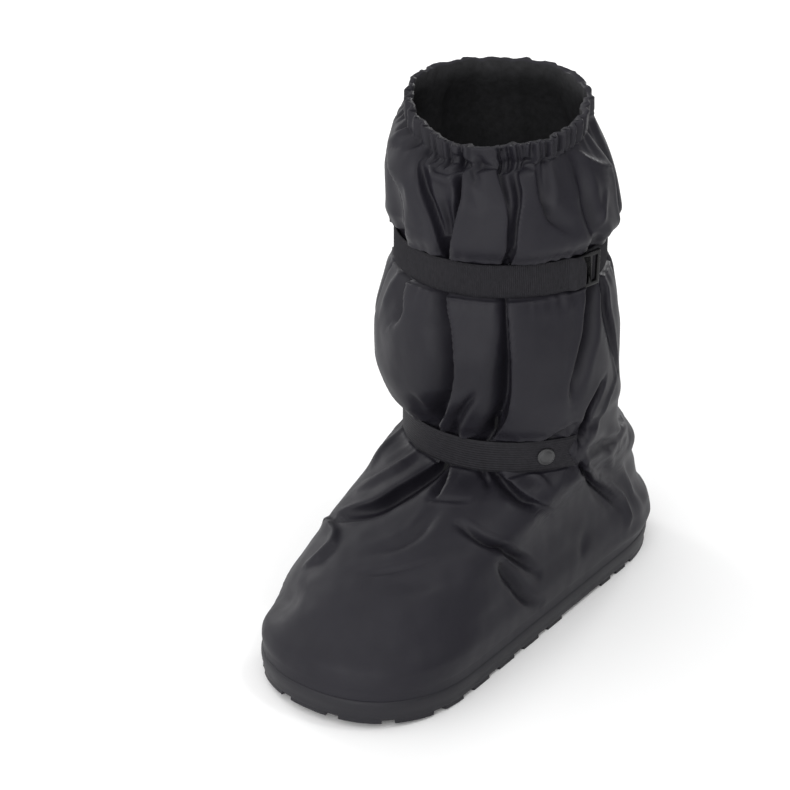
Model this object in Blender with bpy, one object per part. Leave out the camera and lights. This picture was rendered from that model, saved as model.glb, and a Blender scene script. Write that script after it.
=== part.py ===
"""A left rain overshoe: a gathered coated-fabric upper on a lugged rubber sole, with two webbing straps.

Metres, +Z up, toe towards -Y, the wearer's outer side towards +X. The origin is on the floor, under the
middle of the overshoe's box. Sizes in the tables are millimetres, measured from the middle of the sole, and
a turn is the angle round a section in degrees: 0 at the front, positive towards the outer side.
"""

import math
from collections import namedtuple

import bmesh
import bpy
import numpy as np
from mathutils import Matrix, Vector

MM = 0.001
GAP = 0.3
COLUMNS = 64
ARC_POINTS = 80
SHARP_ANGLE = math.radians(40)

# Sole, driving sizes.
LENGTH = 312.0
BALL_WIDTH = 130.0
END_SHARE = 0.46
TOE_ROUNDNESS = 2.25
HEEL_ROUNDNESS = 2.5
TOE_SPRING = 4.5
TOE_SPRING_Y = -0.20 * LENGTH
HEEL_SPRING = 2.0
HEEL_SPRING_Y = 0.34 * LENGTH
LUG_DEPTH = 3.0
LUG_ROOT = 5.5
LUG_FLARE = 1.4
LUG_EDGE = 0.3
LUG_EDGE_SHARE = 0.98
LUG_ARC_POINTS = 4
RIM_TOP = 15.0
RIM_WALL = 3.0
TRAY_FLOOR = 8.5
HALF_LENGTH = LENGTH / 2
HALF_WIDTH = BALL_WIDTH / 2
END_LENGTH = HALF_LENGTH * END_SHARE

# Upper, straps and fasteners, driving sizes.
WALL = 1.6
INSOLE_THICKNESS = 3.0
WEBBING_WIDTH = 20.0
WEBBING_THICKNESS = 1.5
BUCKLE_TURN = 81.5
BUCKLE_TILT = math.radians(11)
BUCKLE_LENGTH = 17.0
BUCKLE_HEIGHT = 27.0
BUCKLE_BAR = 2.6
BUCKLE_THICKNESS = 2.2
BUCKLE_LIFT = 3.2
ANKLE_OUTER_END = 69.0
ANKLE_INNER_END = -128.0
ANKLE_STATIONS = 46
SNAP_TURN = 51.5
SNAP_SIDES = 20
PLAIN_STATION_STEP = 5.0

# Side of the sole from the waist's edge up and over the rim: inset from the outline, height.
SolePoint = namedtuple("SolePoint", "inset height")
SOLE_SIDE = (
    SolePoint(1.0, LUG_DEPTH),
    SolePoint(0.9, 7.0),
    SolePoint(0.2, 8.2),
    SolePoint(0.0, 9.4),
    SolePoint(0.2, 13.2),
    SolePoint(1.0, RIM_TOP),
    SolePoint(RIM_WALL, RIM_TOP),
    SolePoint(RIM_WALL, TRAY_FLOOR),
)

# Lugs fanned round an end of the sole: the end's direction, how many, the angle of the middle lug, the step
# and half span of each in degrees, and where it lies between the end's centre (0) and the outline (1).
Fan = namedtuple("Fan", "end count middle step half_span inner outer")
LUG_FANS = (
    Fan(-1, 5, 1.0, 26.5, 10.2, 0.73, 1.0),
    Fan(-1, 5, 1.0, 25.0, 9.2, 0.46, 0.66),
    Fan(1, 3, 0.0, 50.0, 21.0, 0.50, 1.0),
)

# Rows of lugs along a side: the side, how many, the front corner of the first at the edge, pitch, length,
# how far in each reaches, and how far forward its inner end slants.
SideRow = namedtuple("SideRow", "side count start_y pitch length inner_x slant")
LUG_SIDE_ROWS = (
    SideRow(1, 5, -105.0, 26.2, 15.5, 38.0, 9.0),
    SideRow(-1, 1, -109.0, 0.0, 31.0, 36.0, 0.0),
    SideRow(-1, 3, -72.0, 25.5, 19.0, 41.0, 2.0),
    SideRow(1, 3, 61.0, 18.0, 11.0, 44.0, 0.0),
    SideRow(-1, 2, 61.0, 26.0, 21.0, 24.0, 0.0),
)

# Lugs of the middle of the sole: place, half sizes, and how far the middle of each bends back.
Chevron = namedtuple("Chevron", "x y half_width half_length bend")
LUG_CHEVRONS = (
    Chevron(-7.5, -104.0, 5.5, 8.0, 0.0),
    Chevron(-21.5, -83.0, 7.0, 6.5, 4.0),
    Chevron(7.0, -91.0, 10.0, 4.5, -4.0),
    Chevron(20.0, -75.0, 13.0, 5.0, 5.0),
    Chevron(-17.0, -66.0, 13.0, 5.5, 6.0),
    Chevron(17.0, -55.0, 12.0, 5.0, 5.0),
    Chevron(-18.0, -45.0, 15.5, 6.0, 7.0),
    Chevron(21.0, -37.0, 11.0, 5.0, 5.0),
    Chevron(-1.5, -27.0, 9.5, 6.0, 5.0),
    Chevron(19.5, -17.5, 8.5, 5.5, 5.0),
    Chevron(-28.0, -18.0, 6.0, 9.0, 4.0),
    Chevron(-7.0, -4.0, 14.5, 5.0, 6.0),
    Chevron(-4.0, 67.0, 11.0, 5.5, 5.0),
    Chevron(-4.0, 85.0, 11.0, 5.5, 5.0),
    Chevron(-4.0, 103.0, 11.0, 4.5, 5.0),
    Chevron(25.0, 67.0, 13.0, 5.5, 5.0),
    Chevron(25.0, 85.0, 13.0, 5.5, 5.0),
    Chevron(25.0, 103.0, 13.0, 4.5, 5.0),
)

# Closed sections of the upper, from the lasting edge in the sole's tray up to the collar. Front and back are
# the ends of each section on its centre line, side_x is where that line runs, rise bends its height between
# the ends (1 is a plane), lean lifts its outer side, and steps is the count of mesh rows to the next section.
Section = namedtuple(
    "Section",
    "front_y front_z back_y back_z side_x half_width end_share toe_round heel_round rise lean steps",
)
LAST_INSET = RIM_WALL + GAP
LAST_FRONT = LAST_INSET - HALF_LENGTH
LAST_BACK = HALF_LENGTH - LAST_INSET
LAST_HALF = HALF_WIDTH - LAST_INSET
LAST_LOW = TRAY_FLOOR + GAP
LAST_HIGH = RIM_TOP + GAP
LAST_ENDS = (END_SHARE, TOE_ROUNDNESS, HEEL_ROUNDNESS)
SECTIONS = (
    Section(LAST_FRONT, LAST_LOW, LAST_BACK, LAST_LOW, 0.0, LAST_HALF, *LAST_ENDS, 1.0, 0.0, 1),
    Section(LAST_FRONT, LAST_HIGH, LAST_BACK, LAST_HIGH, 0.0, LAST_HALF, *LAST_ENDS, 1.0, 0.0, 1),
    Section(-154.0, 20.0, 155.0, 20.0, 0.0, 64.4, END_SHARE, 2.20, 2.60, 1.0, 0.0, 1),
    Section(-152.0, 30.0, 156.0, 34.0, -0.5, 65.8, 0.47, 2.10, 2.60, 1.0, 0.0, 2),
    Section(-142.0, 41.5, 154.0, 52.0, -2.0, 63.5, 0.55, 2.05, 2.20, 1.0, 0.0, 1),
    Section(-128.5, 54.0, 149.5, 69.0, -2.0, 60.5, 0.65, 2.10, 2.10, 1.0, 0.0, 1),
    Section(-106.0, 67.5, 142.5, 82.0, -1.0, 59.5, 0.75, 2.20, 2.12, 1.0, 0.0, 1),
    Section(-72.0, 80.0, 136.0, 91.0, 0.0, 61.5, 0.85, 2.18, 2.28, 1.0, 0.0, 1),
    Section(-39.0, 91.5, 128.0, 96.0, 0.0, 65.0, 0.95, 2.25, 2.25, 1.0, 0.015, 1),
    Section(-15.5, 101.5, 117.0, 98.0, 0.0, 65.0, 1.0, 2.0, 2.0, 1.0, 0.03, 1),
    Section(-15.5, 122.5, 117.0, 119.0, 0.0, 65.0, 1.0, 2.0, 2.0, 1.0, 0.03, 2),
    Section(-26.0, 136.0, 115.0, 134.0, -3.5, 72.5, 1.0, 2.0, 2.0, 1.0, 0.015, 2),
    Section(-34.0, 155.0, 113.0, 155.0, -5.0, 74.0, 1.0, 2.0, 2.0, 1.0, 0.0, 2),
    Section(-34.0, 176.0, 113.0, 176.0, -5.5, 73.5, 1.0, 2.0, 2.0, 1.0, 0.0, 2),
    Section(-26.0, 205.0, 107.0, 205.0, -5.0, 67.0, 1.0, 2.0, 2.0, 1.0, 0.0, 1),
    Section(-21.0, 215.5, 101.0, 215.5, -4.5, 61.0, 1.0, 2.0, 2.0, 1.0, 0.0, 1),
    Section(-21.0, 236.5, 101.0, 236.5, -4.5, 61.0, 1.0, 2.0, 2.0, 1.0, 0.0, 1),
    Section(-27.0, 249.0, 107.0, 249.0, -3.0, 68.5, 1.0, 2.0, 2.0, 1.0, 0.0, 2),
    Section(-28.0, 270.0, 108.0, 273.0, -6.5, 67.0, 1.0, 2.0, 2.0, 1.0, 0.0, 2),
    Section(-20.0, 288.0, 101.0, 303.0, -12.5, 56.5, 1.0, 2.0, 2.0, 0.6, 0.0, 1),
    Section(-12.5, 293.0, 93.0, 311.0, -8.5, 53.5, 1.0, 2.0, 2.0, 0.5, 0.0, 1),
    Section(-12.0, 302.0, 92.0, 320.0, -8.5, 53.5, 1.0, 2.0, 2.0, 0.5, 0.0, 1),
)
ANKLE_SEAT = 9
CALF_SEAT = 15

# Main folds of the upper, as troughs pressed into its wall between two places.
Fold = namedtuple("Fold", "low_turn low_z high_turn high_z half_width depth")
FOLDS = (
    Fold(3.0, 118.0, 10.0, 232.0, 7.5, 7.0),
    Fold(33.0, 118.0, 37.0, 232.0, 7.0, 7.0),
    Fold(75.0, 130.0, 86.0, 232.0, 9.0, 5.0),
    Fold(-52.0, 116.0, -44.0, 230.0, 9.0, 5.5),
    Fold(-96.0, 116.0, -92.0, 230.0, 9.0, 6.0),
    Fold(-140.0, 116.0, -138.0, 230.0, 9.0, 6.0),
    Fold(168.0, 116.0, 172.0, 230.0, 9.0, 6.0),
    Fold(128.0, 116.0, 130.0, 230.0, 9.0, 6.0),
    Fold(4.0, 222.0, -6.0, 294.0, 7.0, 5.0),
    Fold(36.0, 222.0, 36.0, 298.0, 7.0, 6.0),
    Fold(-48.0, 222.0, -40.0, 300.0, 8.0, 5.0),
    Fold(-100.0, 222.0, -96.0, 304.0, 9.0, 5.0),
    Fold(-150.0, 222.0, -144.0, 306.0, 9.0, 5.0),
    Fold(158.0, 222.0, 152.0, 306.0, 9.0, 5.0),
    Fold(116.0, 222.0, 110.0, 304.0, 8.0, 4.5),
    Fold(88.0, 196.0, 88.0, 256.0, 17.0, 3.8),
)
FOLD_TAPER = 0.16

# Where the calf strap climbs over the buckle's front bar and dives under its middle bar: turn, lift.
Station = namedtuple("Station", "turn lift")
BUCKLE_STATIONS = (
    Station(72.0, 0.0),
    Station(75.0, 0.9),
    Station(78.0, BUCKLE_LIFT),
    Station(80.0, BUCKLE_LIFT),
    Station(83.0, BUCKLE_LIFT),
    Station(84.3, 2.1),
    Station(85.6, 0.8),
    Station(86.6, 0.0),
)
PLAIN_FROM = 92.0
PLAIN_TO = 432.0

# Profile of the snap's cap: radius about its own axis, height over the strap.
CapRing = namedtuple("CapRing", "radius height")
SNAP_PROFILE = (
    CapRing(5.3, 0.0),
    CapRing(5.3, 0.7),
    CapRing(4.7, 1.4),
    CapRing(3.4, 1.8),
    CapRing(1.7, 2.0),
)


def clear_scene():
    for item in list(bpy.data.objects):
        bpy.data.objects.remove(item, do_unlink=True)


def spring(y):
    """Height that the spring of the toe and the heel adds at a place along the sole."""
    toe = np.clip((TOE_SPRING_Y - y) / (TOE_SPRING_Y + HALF_LENGTH), 0.0, 1.0)
    heel = np.clip((y - HEEL_SPRING_Y) / (HALF_LENGTH - HEEL_SPRING_Y), 0.0, 1.0)
    return TOE_SPRING * toe**2 + HEEL_SPRING * heel**2


def round_end(half_width, end, roundness):
    """A quarter of a superellipse, from its tip on the centre line to the side."""
    angle = np.linspace(math.pi / 2, 0.0, ARC_POINTS)
    across = half_width * np.abs(np.cos(angle)) ** (2 / roundness)
    along = end * np.abs(np.sin(angle)) ** (2 / roundness)
    return across, along


def ring(front_y, back_y, half_width, end_share, toe_round, heel_round):
    """Plan of a closed section, evenly spaced by girth from the middle of the heel round the outer side."""
    end = (back_y - front_y) / 2 * end_share
    heel_x, heel_along = round_end(half_width, end, heel_round)
    toe_x, toe_along = round_end(half_width, end, toe_round)
    x = np.concatenate((heel_x, toe_x[::-1]))
    y = np.concatenate((back_y - end + heel_along, front_y + end - toe_along[::-1]))
    travelled = np.concatenate(([0.0], np.cumsum(np.hypot(np.diff(x), np.diff(y)))))
    stops = np.linspace(0.0, travelled[-1], COLUMNS // 2 + 1)
    side_x = np.interp(stops, travelled, x)
    side_y = np.interp(stops, travelled, y)
    side_x[[0, -1]] = 0.0
    plan_x = np.concatenate((side_x, -side_x[-2:0:-1]))
    plan_y = np.concatenate((side_y, side_y[-2:0:-1]))
    return np.column_stack((plan_x, plan_y))


def eased_rows(table, positions):
    """The columns of a table between its rows, eased with no overshoot."""
    values = np.array(table, float)
    change = np.diff(values, axis=0)
    before, after = change[:-1], change[1:]
    same_way = before * after > 0
    slope = np.vstack((change[:1], np.zeros_like(before), change[-1:]))
    slope[1:-1][same_way] = (2 * before * after)[same_way] / (before + after)[same_way]
    row = np.minimum(positions.astype(int), len(values) - 2)
    t = (positions - row)[:, None]
    start = (1 + 2 * t) * (1 - t) ** 2 * values[row] + t * (1 - t) ** 2 * slope[row]
    finish = t**2 * (3 - 2 * t) * values[row + 1] - t**2 * (1 - t) * slope[row + 1]
    return start + finish


def section_points(row):
    """One section of the upper in space, before the toe spring."""
    section = Section(*row)
    ends = (section.end_share, section.toe_round, section.heel_round)
    plan = ring(section.front_y, section.back_y, section.half_width, *ends)
    way = np.clip((plan[:, 1] - section.front_y) / (section.back_y - section.front_y), 0.0, 1.0)
    height = section.front_z + (section.back_z - section.front_z) * way**section.rise
    height += section.lean * plan[:, 0]
    return np.column_stack((plan[:, 0] + section.side_x, plan[:, 1], height))


def upper_grid():
    """The upper's outer face without folds, a row of points for each mesh row."""
    places = [0.0]
    for index, section in enumerate(SECTIONS[:-1]):
        places += [index + (step + 1) / section.steps for step in range(section.steps)]
    return np.array([section_points(row) for row in eased_rows(SECTIONS, np.array(places))])


def grid_normals(grid):
    """Outward normals of a grid of closed rings."""
    around = np.roll(grid, -1, axis=1) - np.roll(grid, 1, axis=1)
    upward = np.gradient(grid, axis=0)
    normals = np.cross(upward, around)
    return normals / np.linalg.norm(normals, axis=2, keepdims=True)


def smooth_step(t):
    t = np.clip(t, 0.0, 1.0)
    return t * t * (3 - 2 * t)


def fold_depths(grid):
    """How far the folds press in at each point of the grid."""
    girth = np.linalg.norm(np.roll(grid, -1, axis=1) - grid, axis=2).sum(axis=1)[:, None]
    turn = 180.0 - 360.0 * np.arange(COLUMNS) / COLUMNS
    depth = np.zeros(grid.shape[:2])
    for fold in FOLDS:
        way = (grid[..., 2] - fold.low_z) / (fold.high_z - fold.low_z)
        path = fold.low_turn + (fold.high_turn - fold.low_turn) * np.clip(way, 0.0, 1.0)
        apart = (turn[None] - path + 180.0) % 360.0 - 180.0
        across = apart / 360.0 * girth / fold.half_width
        ends = smooth_step(way / FOLD_TAPER) * smooth_step((1.0 - way) / FOLD_TAPER)
        depth = np.maximum(depth, fold.depth * ends * np.exp(-(across**2)))
    return depth[..., None]


def ring_faces(first, second, count):
    """Quads between two rings of points, given by their first indices."""
    faces = []
    for column in range(count):
        after = (column + 1) % count
        faces.append((first + column, first + after, second + after, second + column))
    return faces


def cap_faces(first, count):
    """Strips across a ring whose two sides mirror each other."""
    faces = [(first, first + 1, first + count - 1)]
    for column in range(1, count // 2 - 1):
        across = first + count - column
        faces.append((first + column, first + column + 1, across - 1, across))
    middle = first + count // 2
    faces.append((middle - 1, middle, middle + 1))
    return faces


def add_mesh(name, points, faces, finish):
    """An object from points in millimetres, its faces turned outwards."""
    mesh = bpy.data.meshes.new(name)
    mesh.from_pydata([tuple(point) for point in np.asarray(points) * MM], [], faces)
    shape = bmesh.new()
    shape.from_mesh(mesh)
    bmesh.ops.recalc_face_normals(shape, faces=shape.faces)
    shape.to_mesh(mesh)
    shape.free()
    mesh.shade_smooth()
    mesh.set_sharp_from_angle(angle=SHARP_ANGLE)
    item = bpy.data.objects.new(name, mesh)
    item.data.materials.append(finish)
    bpy.context.scene.collection.objects.link(item)
    return item


def add_finish(name, colour, roughness):
    finish = bpy.data.materials.new(name)
    finish.use_nodes = True
    shader = finish.node_tree.nodes["Principled BSDF"]
    shader.inputs["Base Color"].default_value = (*colour, 1.0)
    shader.inputs["Roughness"].default_value = roughness
    shader.inputs["Metallic"].default_value = 0.0
    return finish


def sole_ring(inset, height):
    """The sole's outline, drawn in by an inset, with the toe spring."""
    ends = (END_SHARE, TOE_ROUNDNESS, HEEL_ROUNDNESS)
    plan = ring(inset - HALF_LENGTH, HALF_LENGTH - inset, HALF_WIDTH - inset, *ends)
    return np.column_stack((plan, height + spring(plan[:, 1])))


def stacked_rings(rings):
    """Points and faces of a solid made of rings one after another, closed across the first and the last."""
    faces = cap_faces(0, COLUMNS) + cap_faces((len(rings) - 1) * COLUMNS, COLUMNS)
    for index in range(len(rings) - 1):
        faces += ring_faces(index * COLUMNS, (index + 1) * COLUMNS, COLUMNS)
    return np.vstack(rings), faces


def fan_lugs(fan):
    """Plans of the lugs round one end of the sole."""
    plans = []
    for index in range(fan.count):
        middle = fan.middle + (index - (fan.count - 1) / 2) * fan.step
        angles = np.radians(np.linspace(middle - fan.half_span, middle + fan.half_span, LUG_ARC_POINTS))
        across = np.abs(np.sin(angles)) / (HALF_WIDTH - LUG_EDGE)
        along = np.abs(np.cos(angles)) / (END_LENGTH - LUG_EDGE)
        roundness = HEEL_ROUNDNESS if fan.end > 0 else TOE_ROUNDNESS
        reach = (across**roundness + along**roundness) ** (-1 / roundness)
        direction = np.column_stack((np.sin(angles), fan.end * np.cos(angles)))
        centre = np.array((0.0, fan.end * (HALF_LENGTH - END_LENGTH)))
        outer = centre + direction * (reach * fan.outer)[:, None]
        inner = centre + direction * (reach * fan.inner)[:, None]
        plans.append(np.vstack((outer, inner[::-1])))
    return plans


def side_lugs(row):
    """Plans of the lugs along one side of the sole."""
    plans = []
    edge_x = row.side * (HALF_WIDTH - LUG_EDGE)
    inner_x = row.side * row.inner_x
    for index in range(row.count):
        front = row.start_y + index * row.pitch
        back = front + row.length
        plans.append(
            np.array(
                (
                    (edge_x, front),
                    (edge_x, back),
                    (inner_x, back - row.slant),
                    (inner_x, front - row.slant),
                )
            )
        )
    return plans


def chevron_lug(lug):
    """Plan of one lug of the middle of the sole."""
    corners = (
        (-lug.half_width, -lug.half_length),
        (0.0, lug.bend - lug.half_length),
        (lug.half_width, -lug.half_length),
        (lug.half_width, lug.half_length),
        (0.0, lug.bend + lug.half_length),
        (-lug.half_width, lug.half_length),
    )
    return np.array(corners) + (lug.x, lug.y)


def inside_outline(plan):
    """A plan's points brought within the lugs' edge, and how much of the way out each one lies."""
    straight = HALF_LENGTH - END_LENGTH
    centre = np.column_stack((np.zeros(len(plan)), np.clip(plan[:, 1], -straight, straight)))
    offset = plan - centre
    across = np.abs(offset[:, 0]) / (HALF_WIDTH - LUG_EDGE)
    along = np.abs(offset[:, 1]) / (END_LENGTH - LUG_EDGE)
    roundness = np.where(plan[:, 1] > 0, HEEL_ROUNDNESS, TOE_ROUNDNESS)
    share = (across**roundness + along**roundness) ** (1 / roundness)
    return centre + offset / np.maximum(share, 1.0)[:, None], share


def lug_prism(plan):
    """Points and faces of a lug, from the floor to its root inside the sole."""
    foot, share = inside_outline(plan)
    straight = HALF_LENGTH - END_LENGTH
    centre = np.column_stack((np.zeros(len(foot)), np.clip(foot[:, 1], -straight, straight)))
    offset = foot - centre
    reach = np.maximum(np.linalg.norm(offset, axis=1, keepdims=True), 1.0)
    pull = np.where(share[:, None] > LUG_EDGE_SHARE, LUG_FLARE, 0.0)
    root = foot - offset / reach * pull
    low = np.column_stack((foot, spring(foot[:, 1])))
    high = np.column_stack((root, LUG_ROOT + spring(root[:, 1])))
    count = len(plan)
    faces = ring_faces(0, count, count)
    faces += [tuple(range(count)), tuple(range(count, 2 * count))]
    return np.vstack((low, high)), faces


def make_outsole(finish):
    points, faces = stacked_rings([sole_ring(point.inset, point.height) for point in SOLE_SIDE])
    outsole = add_mesh("outsole", points, faces, finish)
    plans = [chevron_lug(lug) for lug in LUG_CHEVRONS]
    for fan in LUG_FANS:
        plans += fan_lugs(fan)
    for row in LUG_SIDE_ROWS:
        plans += side_lugs(row)
    lug_points, lug_faces = [], []
    for plan in plans:
        prism_points, prism_faces = lug_prism(plan)
        first = sum(len(block) for block in lug_points)
        lug_points.append(prism_points)
        lug_faces += [tuple(first + index for index in face) for face in prism_faces]
    lugs = add_mesh("lugs", np.vstack(lug_points), lug_faces, finish)
    lugs.hide_render = True
    lugs.display_type = "WIRE"
    join = outsole.modifiers.new("join_lugs", "BOOLEAN")
    join.operation = "UNION"
    join.solver = "EXACT"
    join.use_self = True
    join.object = lugs
    return outsole, lugs


def make_insole(finish):
    inset = LAST_INSET + WALL + GAP
    low = TRAY_FLOOR + GAP
    points, faces = stacked_rings([sole_ring(inset, low), sole_ring(inset, low + INSOLE_THICKNESS)])
    return add_mesh("insole", points, faces, finish)


def make_upper(finish):
    grid = upper_grid()
    normals = grid_normals(grid)
    outer = grid - normals * fold_depths(grid)
    inner = outer - grid_normals(outer) * WALL
    points = np.vstack((outer.reshape(-1, 3), inner.reshape(-1, 3)))
    points[:, 2] += spring(points[:, 1])
    rows = len(grid)
    faces = ring_faces(rows * COLUMNS, 0, COLUMNS)
    faces += ring_faces((rows - 1) * COLUMNS, (2 * rows - 1) * COLUMNS, COLUMNS)
    for row in range(rows - 1):
        faces += ring_faces(row * COLUMNS, (row + 1) * COLUMNS, COLUMNS)
        faces += ring_faces((rows + row + 1) * COLUMNS, (rows + row) * COLUMNS, COLUMNS)
    return add_mesh("upper", points, faces, finish)


def seat_place(seat, turn):
    """Middle of a strap's seat at a turn, and the directions outwards and round the seat there."""
    low, high = SECTIONS[seat], SECTIONS[seat + 1]
    angle = math.radians(turn)
    half_length = (low.back_y - low.front_y) / 2
    x = low.half_width * math.sin(angle)
    y = -half_length * math.cos(angle)
    way = (1.0 - math.cos(angle)) / 2
    front_z = (low.front_z + high.front_z) / 2
    back_z = (low.back_z + high.back_z) / 2
    place = Vector((x + low.side_x, y + low.front_y + half_length, 0.0))
    place.z = front_z + (back_z - front_z) * way + low.lean * x
    outward = Vector((x / low.half_width**2, y / half_length**2, 0.0)).normalized()
    return place, outward, Vector((-outward.y, outward.x, 0.0))


def webbing(name, seat, stations, closed, finish):
    """A strap on its seat, from (turn, lift) stations."""
    points = []
    for turn, lift in stations:
        place, outward, _ = seat_place(seat, turn)
        inner = place + outward * (GAP + lift)
        outer = inner + outward * WEBBING_THICKNESS
        edge = Vector((0.0, 0.0, WEBBING_WIDTH / 2))
        points += [inner - edge, outer - edge, outer + edge, inner + edge]
    count = len(stations)
    faces = []
    for index in range(count if closed else count - 1):
        first, second = 4 * index, 4 * ((index + 1) % count)
        for corner in range(4):
            after = (corner + 1) % 4
            faces.append((first + corner, first + after, second + after, second + corner))
    if not closed:
        faces += [(0, 1, 2, 3), tuple(range(4 * count - 4, 4 * count))]
    return add_mesh(name, points, faces, finish)


def make_calf_strap(finish):
    """A loop that climbs over the buckle's front bar and dives under its other two bars."""
    plain = [Station(turn, 0.0) for turn in np.arange(PLAIN_FROM, PLAIN_TO, PLAIN_STATION_STEP)]
    return webbing("calf_strap", CALF_SEAT, [*BUCKLE_STATIONS, *plain], True, finish)


def make_ankle_strap(finish):
    turns = np.linspace(ANKLE_INNER_END, ANKLE_OUTER_END, ANKLE_STATIONS)
    stations = [Station(turn, 0.0) for turn in turns]
    return webbing("ankle_strap", ANKLE_SEAT, stations, False, finish)


def make_calf_buckle(finish):
    """A slide with three bars, its front bar under the strap and its rear bar tilted away from the leg."""
    slot = (BUCKLE_LENGTH - 3 * BUCKLE_BAR) / 2
    along = np.cumsum((0.0, BUCKLE_BAR, slot, BUCKLE_BAR, slot, BUCKLE_BAR))
    end_bar = (BUCKLE_HEIGHT - WEBBING_WIDTH) / 2 - 2 * GAP
    upright = np.array((0.0, end_bar, BUCKLE_HEIGHT - end_bar, BUCKLE_HEIGHT)) - BUCKLE_HEIGHT / 2
    shape = bmesh.new()
    corners = [[shape.verts.new((x, z, 0.0)) for z in upright] for x in along]
    for column in range(len(along) - 1):
        for row in range(len(upright) - 1):
            if row == 1 and column % 2 == 1:
                continue
            near, far = corners[column], corners[column + 1]
            shape.faces.new((near[row], far[row], far[row + 1], near[row + 1]))
    raised = bmesh.ops.extrude_face_region(shape, geom=shape.faces[:], use_keep_orig=True)
    lifted = [item for item in raised["geom"] if isinstance(item, bmesh.types.BMVert)]
    bmesh.ops.translate(shape, verts=lifted, vec=(0.0, 0.0, BUCKLE_THICKNESS))
    place, outward, around = seat_place(CALF_SEAT, BUCKLE_TURN)
    rearward = around * math.cos(BUCKLE_TILT) + outward * math.sin(BUCKLE_TILT)
    facing = outward * math.cos(BUCKLE_TILT) - around * math.sin(BUCKLE_TILT)
    start = place + outward * (2 * GAP) - around * (BUCKLE_BAR / 2)
    turn = Matrix((rearward, (0.0, 0.0, 1.0), facing)).transposed().to_4x4()
    bmesh.ops.transform(shape, matrix=Matrix.Translation(start) @ turn, verts=shape.verts)
    points = [vertex.co.copy() for vertex in shape.verts]
    faces = [tuple(vertex.index for vertex in face.verts) for face in shape.faces]
    shape.free()
    return add_mesh("calf_buckle", points, faces, finish)


def make_ankle_snap(finish):
    """A low domed cap on the strap."""
    place, outward, around = seat_place(ANKLE_SEAT, SNAP_TURN)
    base = place + outward * (2 * GAP + WEBBING_THICKNESS)
    up = Vector((0.0, 0.0, 1.0))
    points = []
    for radius, height in SNAP_PROFILE:
        for side in range(SNAP_SIDES):
            angle = 2 * math.pi * side / SNAP_SIDES
            spoke = around * math.cos(angle) + up * math.sin(angle)
            points.append(base + outward * height + spoke * radius)
    faces = [tuple(range(SNAP_SIDES)), tuple(range(len(points) - SNAP_SIDES, len(points)))]
    for index in range(len(SNAP_PROFILE) - 1):
        faces += ring_faces(index * SNAP_SIDES, (index + 1) * SNAP_SIDES, SNAP_SIDES)
    return add_mesh("ankle_snap", points, faces, finish)


def centre_on_floor(items):
    """Hangs every piece on one empty, so that the middle of their box stands on the origin."""
    corners = np.array([vertex.co for item in items for vertex in item.data.vertices])
    middle = (corners.min(axis=0) + corners.max(axis=0)) / 2
    frame = bpy.data.objects.new("overshoe", None)
    bpy.context.scene.collection.objects.link(frame)
    frame.location = (-middle[0], -middle[1], -corners[:, 2].min())
    for item in items:
        item.parent = frame


def build():
    clear_scene()
    fabric = add_finish("coated_fabric", (0.035, 0.035, 0.038), 0.5)
    rubber = add_finish("moulded_rubber", (0.032, 0.032, 0.034), 0.6)
    board = add_finish("insole_board", (0.03, 0.03, 0.03), 0.9)
    web = add_finish("ribbed_webbing", (0.022, 0.022, 0.023), 0.7)
    plastic = add_finish("black_plastic", (0.02, 0.02, 0.021), 0.3)
    cap = add_finish("painted_cap", (0.06, 0.06, 0.062), 0.4)
    items = [
        *make_outsole(rubber),
        make_insole(board),
        make_upper(fabric),
        make_calf_strap(web),
        make_calf_buckle(plastic),
        make_ankle_strap(web),
        make_ankle_snap(cap),
    ]
    centre_on_floor(items)


build()
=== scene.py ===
"""Looks of a left rain overshoe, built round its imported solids.

Metres in the shared frame, +Z up, toe towards -Y, the wearer's outer side towards +X. Tables are millimetres
from the middle of the sole, and a turn is the angle round a section in degrees: 0 at the front, positive
towards the outer side.
"""

import math
from collections import namedtuple

import bmesh
import bpy
import numpy as np
from mathutils import Euler, Matrix, Vector, noise


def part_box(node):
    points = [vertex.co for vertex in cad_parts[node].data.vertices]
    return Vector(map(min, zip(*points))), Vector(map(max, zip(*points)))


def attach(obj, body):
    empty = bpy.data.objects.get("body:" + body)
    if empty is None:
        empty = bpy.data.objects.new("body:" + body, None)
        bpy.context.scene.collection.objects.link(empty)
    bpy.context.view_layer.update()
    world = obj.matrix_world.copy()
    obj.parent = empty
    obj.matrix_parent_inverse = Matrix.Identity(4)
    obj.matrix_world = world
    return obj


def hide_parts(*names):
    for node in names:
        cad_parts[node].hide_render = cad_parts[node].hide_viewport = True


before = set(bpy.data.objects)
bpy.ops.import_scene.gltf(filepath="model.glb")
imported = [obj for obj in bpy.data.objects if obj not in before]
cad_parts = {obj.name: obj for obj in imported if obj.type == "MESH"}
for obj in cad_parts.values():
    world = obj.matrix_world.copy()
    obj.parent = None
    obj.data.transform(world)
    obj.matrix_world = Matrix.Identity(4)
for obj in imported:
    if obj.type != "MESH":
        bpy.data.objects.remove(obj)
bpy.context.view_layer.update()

MM = 0.001
ARC_POINTS = 500
SOLE_LOW, SOLE_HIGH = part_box("outsole")
SHIFT = np.array(((SOLE_LOW.x + SOLE_HIGH.x) / 2, (SOLE_LOW.y + SOLE_HIGH.y) / 2, 0.0))

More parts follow.
